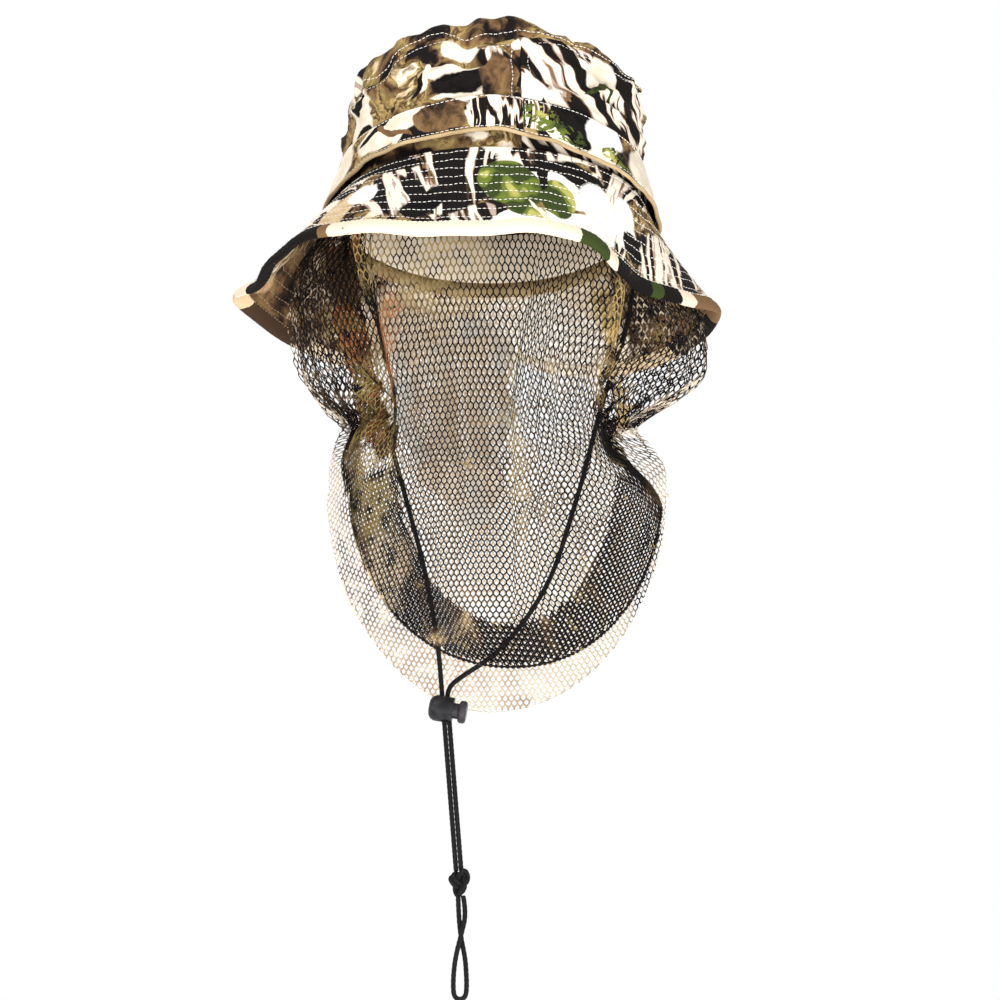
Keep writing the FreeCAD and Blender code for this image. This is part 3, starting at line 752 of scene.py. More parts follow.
def level_at(angle, knots):
    """Smooth periodic value through (degrees, value) knots, at angles in radians."""
    places = np.array([k[0] for k in knots], float)
    values = np.array([k[1] for k in knots], float)
    places = np.concatenate([places - 360, places, places + 360])
    values = np.tile(values, 3)
    at = (np.degrees(angle) + 180) % 360 - 180
    found = np.clip(np.searchsorted(places, at) - 1, 0, len(places) - 2)
    share = (at - places[found]) / (places[found + 1] - places[found])
    share = share * share * (3 - 2 * share)
    return values[found] * (1 - share) + values[found + 1] * share


# Levels round the hat are (degrees, millimetres): the height of the seam between side and tip, and
# its radius.
SEAM_LEVEL = [(-175, 70), (-150, 64), (-138, 66), (-127, 78), (-110, 81), (-98, 72), (-90, 77), (-62, 82),
              (-42, 80), (-15, 79), (20, 76), (60, 80), (100, 77), (140, 80)]
SEAM_RADIUS = [(-180, 89), (-140, 91), (-90, 92), (-45, 92), (-10, 94.5), (20, 93), (90, 92), (140, 91)]
# the puffed ridge of the tip: height and radius
RIDGE_LEVEL = [(-175, 89), (-150, 89), (-138, 88), (-125, 91), (-112, 94), (-104, 92), (-94, 100),
               (-78, 99), (-62, 94), (-54, 89), (-42, 90), (-20, 86), (10, 90), (50, 93), (90, 96),
               (140, 92)]
RIDGE_RADIUS = [(-175, 80), (-150, 81), (-135, 80), (-110, 76), (-70, 76), (-40, 78), (-10, 80), (40, 78),
                (100, 76), (140, 78)]


def crown_side(angle, share):
    """A point of the crown's side wall; share goes from the head seam (0) to the tip's seam (1)."""
    height = share * level_at(angle, SEAM_LEVEL)
    top = level_at(angle, SEAM_RADIUS)
    radius = HEAD_RADIUS + (top - HEAD_RADIUS) * share + 1.2 * np.sin(math.pi * share)
    place = round_points(radius, angle, height)
    loose = np.clip((height - 34) / 14, 0, 1)
    creases = grain(place * np.array([1, 1, 1.7]), 30, 3, 3)
    ridged = 1 - np.abs(grain(place * np.array([1.0, 1.0, 2.2]), 40, 8, 2)) * 2.4
    dents = grain(place, 17, 12, 2)
    radius = radius + loose * (3.6 * creases + 3.0 * ridged + 1.1 * dents - 1.4)
    for seam in (SEAM, SEAM + 180):
        radius = radius - 0.9 * bump(wrapped(angle, seam), 0, 0.7)
    return round_points(radius, angle, height + loose * 1.6 * creases)


# the share of the way to the middle at which the tip's ridge stands
SWELL = 0.22
TIP_ROWS = 70
# the tip is cut from another place of the printed cloth
TIP_PRINT = (400, 0, 0)
# the halves of the crown and flap, and the degrees at which each starts
HALVES = [("left", SEAM - 180), ("right", SEAM)]


def crown_tip(angle, share):
    """A point of the tip; share goes from its seam (0) over the puffed ridge to the middle (1)."""
    seam = crown_side(angle, np.ones_like(angle))
    ridge, ridge_radius = level_at(angle, RIDGE_LEVEL), level_at(angle, RIDGE_RADIUS)
    seam_radius = np.hypot(seam[..., 0], seam[..., 1])
    rise = np.clip(share / SWELL, 0, 1) * math.pi / 2
    inner = np.clip((share - SWELL) / (1 - SWELL), 0, 1)
    radius = seam_radius + 1.8 * np.sin(rise * 2) + (ridge_radius - seam_radius) * (1 - np.cos(rise))
    radius = radius * (1 - inner)
    settled = 95.0 + 1.5 * np.cos(angle * 2)
    height = seam[..., 2] + (ridge - seam[..., 2]) * np.sin(rise)
    height = height + (settled - ridge) * (inner * inner * (3 - 2 * inner))
    place = round_points(radius, angle, height)
    waves = grain(place, 28, 5, 3)
    ridged = 1 - np.abs(grain(place, 38, 9, 2)) * 2.4
    lift = np.clip(share / 0.1, 0, 1) * (2.4 * waves + 2.2 * (ridged - 0.6))
    lift = np.minimum(lift, 99.0 + 2.5 * inner - height)
    return place + np.stack([np.zeros_like(lift), np.zeros_like(lift), lift], -1)


def inward(points, distance):
    """Points moved towards the crown's inside."""
    away = points - np.array([0, 0, 30.0])
    away[..., 2] *= 0.8
    away /= np.linalg.norm(away, axis=-1)[..., None]
    return points - away * distance


def crown_field(angle, height):
    """Flat print coordinates of the crown's side: length round it from the front, and height."""
    turned = wrapped(angle, -90)
    field = np.stack([turned * math.pi / 180 * PRINT_RADIUS, height, np.zeros_like(height)], -1) * MM
    return np.tile(field.reshape(-1, 3), (2, 1))


def make_crown(cloths, thread):
    share = np.linspace(0, 1, 61)
    for name, start in HALVES:
        angle, up = np.meshgrid(turns(start, start + 180, HALF_AROUND), share)
        outer = crown_side(angle, up)
        points, faces = shell(outer, inward(outer, CLOTH))
        make_mesh(f"crown_{name}", points, faces, cloths[name], "hat",
                  [f"crown_side_{name}"], crown_field(angle, outer[..., 2]))
    angle, up = np.meshgrid(full_turn(AROUND), np.linspace(0, 0.985, TIP_ROWS))
    outer = crown_tip(angle, up)
    points, faces = shell(outer, inward(outer, CLOTH), around=True)
    field = (round_points(98 * (1 - up), angle, 0.0) + TIP_PRINT).reshape(-1, 3) * MM
    # a polygon closes each side's last row, in place of the rim that joins them there
    faces = faces[:(2 * TIP_ROWS - 1) * AROUND].tolist()
    last = np.arange((TIP_ROWS - 1) * AROUND, TIP_ROWS * AROUND)
    faces.append(last.tolist())
    faces.append((last + TIP_ROWS * AROUND)[::-1].tolist())
    make_mesh("crown_top", points, faces, cloths["left"], "hat", ["crown_tip"],
              np.tile(field, (2, 1)))

    angle = np.linspace(-math.pi, math.pi, ROW_POINTS)
    rows = [sewn(crown_side(angle, np.full_like(angle, 0.955))),
            sewn(crown_tip(angle, np.full_like(angle, 0.035)), 0.3)]
    up = np.linspace(0.46, 0.97, 200)
    for turn in (SEAM - 3.6, SEAM + 3.2, SEAM + 176.6, SEAM + 183.4):
        wobble = np.radians(turn + 0.25 * np.sin(up * 21))
        rows.append(sewn(crown_side(wobble, up)))
    points, faces = stitches(rows)
    make_mesh("crown_stitches", points, faces, thread, "hat", cloth=points * MM)


# round the flap: the heights of its top seam and its lower edge, and the edge's radius
FLAP_TOP = [(-180, 28), (-140, 31), (-120, 33.5), (-90, 37), (-60, 34), (-40, 31), (0, 28), (60, 33),
            (90, 35), (120, 33)]
FLAP_FOOT = [(-180, -1), (-155, 1), (-140, 6.6), (-115, 8.2), (-90, 11.4), (-70, 7.2), (-55, 4.0),
             (-40, -0.5), (-25, -3), (-8, -8), (15, -6), (50, 3), (90, 8), (130, 5)]
FLAP_FLARE = [(-180, 104), (-160, 102.5), (-140, 100.2), (-90, 100.4), (-55, 100.2), (-40, 102.5),
              (-20, 104.5), (-5, 106), (20, 105), (60, 102), (90, 101), (140, 102)]
# the flap is cut from the print this far below the crown's side
FLAP_PRINT = 190
PIPING_SIDES = 10


def flap_point(angle, share, out):
    """A point of the flap, out from its inside; share goes from its top seam (0) to its edge (1)."""
    top, foot = level_at(angle, FLAP_TOP), level_at(angle, FLAP_FOOT)
    height = top + (foot - top) * share
    wall = crown_side(angle, top / level_at(angle, SEAM_LEVEL))
    start = np.hypot(wall[..., 0], wall[..., 1]) + 0.9
    flare = level_at(angle, FLAP_FLARE)
    radius = start + (flare - start) * share ** 1.25 + 0.9 * np.sin(share * math.pi)
    place = round_points(radius, angle, height)
    ripple = grain(place * np.array([1, 1, 0.5]), 26, 14, 2)
    radius = radius + ripple * (0.35 + 1.1 * share) + out
    height = height + ripple * 0.8 * share
    return round_points(radius, angle, height)


def make_flap(cloths, thread, trim):
    share = np.linspace(0, 1, 26)
    for name, start in HALVES:
        angle, down = np.meshgrid(turns(start, start + 180, HALF_AROUND), share)
        outer = flap_point(angle, down, CLOTH)
        points, faces = shell(outer, flap_point(angle, down, 0.0))
        piece = make_mesh(f"flap_{name}_cloth", points, faces, cloths[name], "hat",
                          [f"flap_{name}"], crown_field(angle, outer[..., 2] - FLAP_PRINT))
        piece.data.flip_normals()
    angle = full_turn(720)
    edge = flap_point(angle, np.full_like(angle, 1.0), 0.75)
    points, faces = tube(edge, 1.25, PIPING_SIDES, closed=True)
    make_mesh("flap_piping_roll", points, faces, trim, "hat", ["flap_piping"],
              along_field(edge, PIPING_SIDES))

    angle = np.linspace(-math.pi, math.pi, ROW_POINTS)
    rows = [sewn(flap_point(angle, np.full_like(angle, share), 1.15)) for share in (0.035, 0.91)]
    down = np.linspace(0.05, 0.9, 60)
    for turn in (SEAM + 0.9, SEAM + 180.9):
        rows.append(sewn(flap_point(np.full_like(down, math.radians(turn)), down, 1.2)))
    points, faces = stitches(rows)
    make_mesh("flap_stitches", points, faces, thread, "hat", cloth=points * MM)


def make_ring(name, rings, across, up, material, node):
    """A closed ring of cloth round the hat from equally long rings of points, outside then inside.

    across and up are its flat print coordinates: one for each column and one for each ring."""
    rows, columns = rings.shape[:2]
    index = np.arange(columns)
    faces = np.concatenate([grid_faces(rows, columns, 0, around=True),
                            strip_faces(index + (rows - 1) * columns, index, around=True)])
    field = np.stack(np.broadcast_arrays(across, np.asarray(up)[:, None], np.zeros((rows, columns))), -1)
    return make_mesh(name, rings.reshape(-1, 3), faces, material, "hat", [node],
                     field.reshape(-1, 3) * MM)


def make_band(name, profile, material, node, relief):
    """A slightly wavy band from (radius, height) pairs."""
    angle = np.linspace(0, 2 * math.pi, AROUND, endpoint=False)
    rings = []
    for radius, height in profile:
        wobble = relief * np.sin(angle * 37 + height) * 0.3
        rings.append(round_points(radius + wobble, angle, height))
    make_ring(name, np.array(rings), angle * PRINT_RADIUS, [p[1] for p in profile], material, node)


SWEATBAND = [(92.9, -2.2), (91.6, 10), (91.2, 20), (90.9, 30.0), (90.2, 30.3), (89.6, 29.6), (89.9, 20),
             (90.3, 10), (90.9, -1.6), (91.8, -2.6)]
HEADING_TAPE = [(93.75, -2.5), (93.8, -7), (93.7, -12.4), (93.1, -12.4), (93.0, -7), (93.1, -2.5)]


def make_bands(sweat, tape):
    angle, share = np.meshgrid(full_turn(AROUND), np.linspace(0.87, 0.98, 12))
    wall = crown_side(angle, share)
    points, faces = shell(inward(wall, 1.3), inward(wall, 2.0), around=True)
    make_mesh("tip_seam_tape_cloth", points, faces, tape, "hat", ["tip_seam_tape"],
              points[:, [0, 2, 1]] * MM)
    make_band("sweatband_cloth", SWEATBAND, sweat, "sweatband", 0.4)
    make_band("heading_tape_cloth", HEADING_TAPE, tape, "veil_heading_tape", 0.3)


# ---------------------------------------------------------------- brim
# radius of the bend where the brim leaves the head seam, and the brim's width from there
BEND = 98.5
WIDTH = 74.0
# cosine and sine parts, in degrees, of one to five waves of the droop round the hat
DROOP = [(9.3, -23.4), (5.6, -3.7), (-1.6, 1.3), (-3.2, -4.5), (-2.4, -3.9)]
MEAN_DROOP = 50.6
# where the brim's left tip stands out
TIP_TURN = 168
ROW_SPACING = 7.3
STITCH_ROWS = [3 + ROW_SPACING * k for k in range(9)]
EDGE_ROW = 65.6


def droop(angle):
    """How far the brim hangs below level, in radians, round the hat."""
    slope = MEAN_DROOP + sum(c * np.cos((k + 1) * angle) + s * np.sin((k + 1) * angle)
                             for k, (c, s) in enumerate(DROOP))
    return np.radians(slope - 13 * bump(wrapped(angle, TIP_TURN), 0, 11))


def brim_point(angle, out, lift):
    """A point of the brim, out millimetres from the bend and lift above the top cloth."""
    slope = droop(angle)
    out = out * (1 + 0.055 * bump(wrapped(angle, TIP_TURN), 0, 8))
    behind = np.clip(np.sin(angle) * 2, 0, 1)
    waves = 3.2 * np.cos(angle * 7 + 0.6) + 1.2 * np.sin(angle * 13 + 1.0)
    lift = lift + (waves * behind + 0.7 * np.sin(angle * 17)) * (out / WIDTH) ** 2
    radius = BEND + out * np.cos(slope) + lift * np.sin(slope)
    return round_points(radius, angle, lift * np.cos(slope) - out * np.sin(slope))


def puff(out):
    """Cloth between two rows of stitches stands a little proud."""
    phase = (out - STITCH_ROWS[0]) / ROW_SPACING
    return 0.42 * np.abs(np.sin(math.pi * phase)) ** 0.6 - 0.1


def brim_ply(name, top, bottom, material, node, puffed=0):
    """One ply of the brim between two lifts; puffed is 1 if its upper side is puffed, -1 if its lower."""
    outs = np.concatenate([[-4.5], np.arange(0.0, WIDTH + 0.1, 0.74)])
    angle, out = np.meshgrid(full_turn(AROUND), outs)
    ripple = puff(out) * np.clip(out / 3, 0, 1)
    fine = 0.18 * np.sin(angle * 190 + 2.2 * np.sin(out * 0.9)) * np.abs(ripple)
    upper = brim_point(angle, np.maximum(out, 0), top + (ripple + fine) * (puffed > 0))
    lower = brim_point(angle, np.maximum(out, 0), bottom - (ripple + fine) * (puffed < 0))
    for ring, level in ((upper, top), (lower, bottom)):
        ring[0] = round_points(BEND + outs[0], angle[0], level * 0.6)
    points, faces = shell(upper, lower, around=True)
    field = round_points(BEND + out, angle, 0.0).reshape(-1, 3) * MM
    piece = make_mesh(name, points, faces, material, "hat", [node], np.tile(field, (2, 1)))
    piece.data.flip_normals()
    return piece


# the folded binding's section: out from the bend and lift above the top cloth; OUTSIDE picks the
# points of its outer side
BINDING = [(65.4, 0.45), (65.7, 1.15), (66.5, 1.0), (69.5, 1.75), (72.5, 1.65), (74.6, 0.7), (75.6, -0.6),
           (75.9, -1.4), (75.5, -2.4), (74.4, -3.3), (72, -3.9), (69, -3.9), (66.5, -3.4), (65.7, -3.5),
           (65.4, -2.9), (66, -2.75), (73.8, -2.6), (74.5, -1.2), (73.8, 0.2), (66, 0.35)]
OUTSIDE = range(1, 14)


def make_brim(top_cloth, under_cloth, lining, binding_paint, thread, under_thread):
    brim_ply("brim_top_cloth", 0.0, -0.78, top_cloth, "brim_top_ply", 1)
    brim_ply("brim_lining", -0.82, -1.58, lining, "brim_stiffener")
    brim_ply("brim_under_cloth", -1.62, -2.4, under_cloth, "brim_bottom_ply", -1)
    angle = full_turn(AROUND * 2)
    pucker = 0.22 * np.sin(angle * 150) + 0.15 * np.sin(angle * 67)
    rings = []
    for k, (out, lift) in enumerate(BINDING):
        outside = 1.0 if k in OUTSIDE else 0.0
        puckered = lift + pucker * 0.5 * outside * np.sign(lift + 1.2)
        rings.append(brim_point(angle, np.full_like(angle, out), puckered))
    turned = wrapped(angle, -90) * math.pi / 180 * EDGE_RADIUS
    piece = make_ring("brim_binding_cloth", np.array(rings), turned, np.arange(len(BINDING)) * 1.6,
                      binding_paint, "brim_binding")
    piece.data.flip_normals()

    around = np.linspace(-math.pi, math.pi, 1400)
    for name, side, lift, edge_lift, paint in (("top", 1, 0.06, 1.12, thread),
                                               ("under", -1, -2.46, -3.5, under_thread)):
        rows = []
        for k, out in enumerate(STITCH_ROWS):
            level = np.full_like(around, out)
            outward = brim_point(around, level, lift + side) - brim_point(around, level, lift)
            wander = out + 0.45 * np.sin(around * 23 + k * 1.7) + 0.25 * np.sin(around * 61 + k)
            rows.append((brim_point(around, wander, lift), outward))
        edge = np.full_like(around, EDGE_ROW)
        path = brim_point(around, edge, edge_lift)
        rows.append((path, brim_point(around, edge, edge_lift + side) - path))
        points, faces = stitches(rows)
        make_mesh(f"brim_stitches_{name}", points, faces, paint, "hat",
                  cloth=points * MM)


# ---------------------------------------------------------------- net
# heights: where the bibs hang free, the panels' top edge, the drapes' foot and the lowest row of cells
SPLIT = -190.0
TOP = -2.7
FOOT = -345
LAST_ROW = -338
# the upper net reaches this far below the split, behind the bib
OVERLAP = 6
SLIT_TOP = -128
# height, reach to the left and to the right, depth
FRONT_SECTIONS = [
    (-2.7, 95.2, 95.2, 95.2), (-20, 108, 106, 92), (-40, 124, 120, 88), (-60, 129, 133, 88),
    (-87, 125, 138, 87), (-108, 119, 134, 85), (-118, 114, 121, 82), (-132, 101, 100, 77),
    (-145, 86, 85, 73), (-166, 92, 85, 72.5), (-190, 91, 103, 72), (-240, 96, 114, 69),
    (-290, 96, 112, 63), (-345, 90, 105, 58)]
BACK_SECTIONS = [
    (-2.7, 95.2, 95.2, 95.2), (-20, 107, 106, 97), (-40, 120, 119, 98), (-60, 128, 132, 98),
    (-87, 126, 138, 95), (-108, 120, 134, 89), (-125, 106, 112, 84), (-140, 90, 90, 78),
    (-155, 96, 98, 76), (-170, 99, 107, 73), (-190, 101, 111, 71.5), (-240, 107, 115, 69),
    (-290, 104, 112, 64), (-345, 98, 105, 58)]
# half of the cut width of each panel at a height: the side slits start where it narrows
CUT = [(-345, 127), (-290, 137), (-240, 144), (-190, 142), (-165, 152), (-145, 188), (-128, 200)]


def smooth_at(height, knots):
    """Value at a height between (height, value) knots, without corners."""
    knots = sorted(knots)
    heights = np.array([k[0] for k in knots], float)
    values = np.array([k[1] for k in knots], float)
    slopes = np.gradient(values, heights)
    k = np.clip(np.searchsorted(heights, height) - 1, 0, len(heights) - 2)
    wide = heights[k + 1] - heights[k]
    t = np.clip((height - heights[k]) / wide, 0, 1)
    return float((2 * t ** 3 - 3 * t ** 2 + 1) * values[k] + (t ** 3 - 2 * t ** 2 + t) * wide * slopes[k]
                 + (3 * t ** 2 - 2 * t ** 3) * values[k + 1] + (t ** 3 - t ** 2) * wide * slopes[k + 1])


def brim_room(angle, height):
    """How far from the middle the net can reach at a height before it touches the brim."""
    slope = droop(angle)
    edge = WIDTH + 3
    reach = np.minimum(-height / np.sin(slope), edge)
    below = np.maximum(-height - edge * np.sin(slope), 0)
    return BEND - 6 + reach * np.cos(slope) + below * 1.2


# steps of a drape's table
TABLE_DOWN = 1.5
TABLE_ACROSS = 1.0


class Drape:
    """A net panel as a table of places against width and height, with folds where cloth is spare.

    folds are (width of the fold, [(height, x, depth of the fold), ...])."""

    def __init__(self, sections, side, folds, loose, seed):
        self.side, self.folds, self.loose, self.seed = side, folds, loose, seed
        self.reaches = [[(s[0], s[k]) for s in sections] for k in (1, 2, 3)]
        self.half = CUT[-1][1]
        self.heights = np.arange(TOP, FOOT - 0.5, -TABLE_DOWN)
        self.widths = np.arange(-self.half, self.half + 0.5, TABLE_ACROSS)
        self.table = np.array([self.row(height) for height in self.heights])

    def outline(self, height, t):
        """Plain shape at a height: an arc on each side of the middle."""
        left, right, depth = (smooth_at(height, knots) for knots in self.reaches)
        reach = np.where(t < 0, left, right)
        radius = (reach ** 2 + depth ** 2) / (2 * depth)
        turn = t * np.arccos((radius - depth) / radius)
        return radius * np.sin(turn), self.side * (depth - radius + radius * np.cos(turn))

    def row(self, height):
        t = np.linspace(-1, 1, 1601)
        x, y = self.outline(height, t)
        line = np.stack([x, y], 1)
        step = np.gradient(line, axis=0)
        step /= np.linalg.norm(step, axis=1)[:, None]
        outward = np.stack([step[:, 1], -step[:, 0]], 1) * -self.side
        ends = np.clip((1 - np.abs(t)) / 0.06, 0, 1)
        push = 0.9 * np.sin(x / 17 + height / 60 + self.seed) * ends
        for width, knots in self.folds:
            middle = smooth_at(height, [(h, at) for h, at, _ in knots])
            amount = smooth_at(height, [(h, deep) for h, _, deep in knots])
            if knots[0][0] >= height >= knots[-1][0]:
                push = push + amount * ends * bump(x, middle, width)
        line = line + outward * push[:, None]
        loose = self.loose(x) * ends
        waves = np.sin(t * 57 + 0.9 * math.sin(height / 40 + self.seed))
        waves = (waves + 0.5 * np.sin(t * 93 + height / 55)) * loose
        half = smooth_at(height, CUT)
        wanted = 2 * half * float(np.interp(height, [-165, -90], [0.90, 1.0]))
        smallest = 0.0
        largest = 9.0
        for _ in range(12):
            size = (smallest + largest) / 2
            trial = line + outward * (waves * size)[:, None]
            if np.linalg.norm(np.diff(trial, axis=0), axis=1).sum() < wanted:
                smallest = size
            else:
                largest = size
        trial = line + outward * (waves * smallest)[:, None]
        room = brim_room(np.arctan2(trial[:, 1], trial[:, 0]), height)
        reach = np.linalg.norm(trial, axis=1)
        trial *= np.minimum(1, room / reach)[:, None]
        distance = lengths(trial)
        centre = np.interp(0, t, distance)
        scale = np.where(distance < centre, centre, distance[-1] - centre) / half
        at = (distance - centre) / scale
        return np.stack([np.interp(self.widths, at, trial[:, 0]), np.interp(self.widths, at, trial[:, 1]),
                         np.full_like(self.widths, height)], 1)

    def cut(self, height):
        """Half of the panel's cut width at heights."""
        return np.interp(height, [k[0] for k in CUT], [k[1] for k in CUT])

    def at(self, width, height):
        column = np.clip((width + self.half), 0, len(self.widths) - 1.001)
        row = np.clip((self.heights[0] - height) / TABLE_DOWN, 0, len(self.heights) - 1.001)
        i, j = row.astype(int), column.astype(int)
        a, b = (row - i)[..., None], (column - j)[..., None]
        t = self.table
        return ((1 - a) * ((1 - b) * t[i, j] + b * t[i, j + 1])
                + a * ((1 - b) * t[i + 1, j] + b * t[i + 1, j + 1]))

    def normal(self, width, height):
        along = self.at(width + TABLE_ACROSS, height) - self.at(width - TABLE_ACROSS, height)
        down = self.at(width, height - TABLE_DOWN) - self.at(width, height + TABLE_DOWN)
        cross = np.cross(along, down) * -self.side
        return cross / np.maximum(np.linalg.norm(cross, axis=-1), 1e-9)[..., None]

    def width_at(self, x, height):
        """The cut width coordinate whose place at a height is nearest to x."""
        row = self.at(self.widths, np.full_like(self.widths, height))
        usable = np.abs(self.widths) <= self.cut(height)
        return float(self.widths[np.argmin(np.abs(row[:, 0] - x) + 1000 * ~usable)])


def row_pitch(height):
    """The height of a row of cells: the net is stretched taller near the hat."""
    return float(np.interp(height, [-225, -90], [3.5, 5.2]))


# width of a cell, and how much of a row's height is the upright thread between two knots
PITCH = 3.85
UPRIGHT = 0.42
THREAD_THICKNESS = 0.30
# half of the flattened threads' width, on each panel
THREAD = {"front": 0.47, "back": 0.56, "gather": 0.62, "hem": 0.50}


def lattice(drape, inside, thread, push, shift):
    """Points, faces and flat coordinates of a hexagonal net laid on a drape.

    inside(width, height, place) says where there is net. Each thread is a four-sided bar that shares
    its corners with its neighbours at the knots."""
    heights = [TOP - 1.0 + shift[1]]
    while heights[-1] > LAST_ROW:
        heights.append(heights[-1] - row_pitch(heights[-1]))
    rows = np.array(heights)
    count = int(drape.half / PITCH) - 1
    columns = np.arange(-count, count + 1)
    row, column = np.meshgrid(np.arange(len(rows)), columns, indexing="ij")
    width = (column + 0.5 * (row % 2)) * PITCH + shift[0]
    upper = rows[row]
    gap = np.array([row_pitch(h) for h in rows])[row]
    lower = upper - UPRIGHT * gap
    slant = thread / np.cos(np.arctan2((1 - UPRIGHT) * gap, PITCH / 2))
    knots = []
    for place, sign in ((upper, 1), (lower, -1)):
        beside = place - sign * 0.15 * thread
        knots.append([(width, place, 1), (width, place, -1), (width - thread, beside, 0),
                      (width + thread, beside, 0), (width, place + sign * slant, 0)])
    kept = np.abs(width) < drape.cut(upper) - 1
    for level in (upper, lower):
        kept &= inside(width, level, drape.at(width, level))
    total = int(kept.sum())
    index = -np.ones(row.shape, int)
    index[kept] = np.arange(total)
    points, flat = [], []
    for knot in knots:
        for w, h, layer in knot:
            w, h = w[kept], h[kept]
            points.append(drape.at(w, h) + drape.normal(w, h) * (layer * THREAD_THICKNESS + push))
            flat.append(np.stack([w, h, 0 * w], 1))
    faces = []

    def bar(first, second, ends, sides):
        """Four quads between knots; sides are the corners on either side of the thread."""
        for layer in (0, 1):
            for k in (0, 1):
                corners = [(ends[0], layer, first), (ends[1], layer, second),
                           (ends[1], sides[1][k], second), (ends[0], sides[0][k], first)]
                quad = [(knot * 5 + which) * total + number for knot, which, number in corners]
                if k == layer:
                    quad = quad[::-1]
                faces.append(np.stack(quad, 1))

    one = index[kept]
    bar(one, one, (0, 1), ((2, 3), (2, 3)))
    for side in (0, 1):
        across = column + np.where(row % 2 == 1, side, side - 1) + count
        valid = kept & (row + 1 < len(rows)) & (across >= 0) & (across < len(columns))
        target = np.full(row.shape, -1)
        target[valid] = index[row[valid] + 1, across[valid]]
        linked = target >= 0
        sides = ((2, 4), (4, 3)) if side == 0 else ((4, 3), (2, 4))
        bar(index[linked], target[linked], (1, 0), sides)
    return np.concatenate(points), np.concatenate(faces), np.concatenate(flat) * MM


def make_net(name, drape, material, body, nodes, layers, inside, thread):
    """A net piece of one or more layers; layers are (push, (shift across, shift up))."""
    points, faces, flats, start = [], [], [], 0
    for push, shift in layers:
        some, their, flat = lattice(drape, inside, thread, push, shift)
        points.append(some)
        faces.append(their + start)
        flats.append(flat)
        start += len(some)
    return make_mesh(name, np.concatenate(points), np.concatenate(faces), material, body, nodes,
                     np.concatenate(flats))


# folds along the height: (width of the fold, [(height, x, depth of the fold), ...])
FRONT_FOLDS = [
    (9, [(-8, -90, -3), (-35, -94, -10), (-60, -92, -16), (-110, -80, -20), (-140, -72, -16),
         (-175, -67, -6), (-200, -67, 0)]),
    (8, [(-8, -74, 2), (-35, -72, 5), (-110, -60, 6), (-150, -56, 3), (-200, -54, 0)]),
    (9, [(-8, 88, -3), (-35, 87, -10), (-75, 92, -16), (-110, 90, -20), (-140, 79, -12),
         (-175, 79, -6), (-200, 80, 0)]),
    (7, [(-30, 74, 2), (-60, 76, 7), (-100, 75, 7), (-140, 70, 3), (-180, 68, 0)]),
    (3.5, [(-60, 34, 0), (-88, 31, -8), (-128, 22, -10), (-165, 18, -8), (-213, 19, -7), (-284, 18, -6),
           (-312, 18, 0)]),
    (3.5, [(-60, 42, 0), (-88, 39, 5), (-128, 30, 7), (-165, 26, 6), (-213, 27, 5), (-284, 26, 4),
           (-312, 26, 0)]),
    (5, [(-90, 52, 0), (-130, 47, -4), (-180, 44, -4), (-240, 42, -3), (-300, 40, 0)]),
    (6, [(-120, -30, 0), (-170, -26, -3), (-230, -20, -3), (-300, -14, 0)])]
BACK_FOLDS = [
    (8, [(-8, -86, -2), (-40, -84, -8), (-90, -82, -12), (-130, -76, -8), (-180, -74, 0)]),
    (8, [(-8, 86, -2), (-40, 86, -8), (-90, 88, -12), (-130, 78, -8), (-180, 76, 0)]),
    (7, [(-20, 30, 0), (-80, 26, -4), (-160, 22, 4), (-230, 30, 4), (-300, 34, 0)]),
    (7, [(-20, -34, 0), (-80, -30, 4), (-160, -34, -4), (-230, -30, -4), (-300, -26, 0)])]


def at_sides(x):
    """Where spare cloth of the front panel lies."""
    return bump(np.abs(x), 82, 12) + 0.22 * np.clip((np.abs(x) - 94) / 10, 0, 1)


def at_back(x):
    """Where spare cloth of the rear panel lies."""
    return 0.25 + 0.75 * np.clip((np.abs(x) - 62) / 14, 0, 1)


# centre, half width and depth of the round bibs, and of the doubled band along the front one
BIB_FRONT = (10, 98, 143)
BIB_BACK = (4, 107, 124)
HEM_FRONT = 30.0


def in_bib(bib, inset=0.0, hollow=None):
    """Test of a place against the bib's round outline; hollow leaves out what lies further in."""
    centre, half_width, depth = bib

    def reach(place, drawn):
        return (((place[..., 0] - centre) / (half_width - drawn)) ** 2
                + ((place[..., 2] - SPLIT) / (depth - drawn)) ** 2)

    def inside(width, height, place):
        kept = (height < SPLIT) & (reach(place, inset) <= 1)
        return kept if hollow is None else kept & (reach(place, hollow) > 1)
    return inside


def above_split(width, height, place):
    return height > SPLIT - OVERLAP


def by_slit(drape):
    """Test for the doubled band above the bib, along the panel's cut sides."""
    def inside(width, height, place):
        band = 10 + 24 * np.clip((SLIT_TOP - height) / 40, 0, 1)
        beside = np.abs(width) > drape.cut(height) - band
        return (height > SPLIT - OVERLAP) & (height < SLIT_TOP) & beside
    return inside


def bib_edge(drape, bib, inset):
    """Path along a bib's outline on its drape, and its outward normals."""
    centre, half_width, depth = bib
    path, normals = [], []
    for turn in np.linspace(0.02, math.pi - 0.02, 260):
        x = centre - (half_width - inset) * math.cos(turn)
        z = SPLIT - (depth - inset) * math.sin(turn)
        width = np.array(drape.width_at(x, z))
        path.append(drape.at(width, np.array(z)))
        normals.append(drape.normal(width, np.array(z)))
    return np.array(path), np.array(normals)


EDGE_SIDES = 8
SCALLOP = 3.4


def scalloped(distance, turn):
    return 1 + 0.42 * np.sin(distance * 2 * math.pi / SCALLOP)


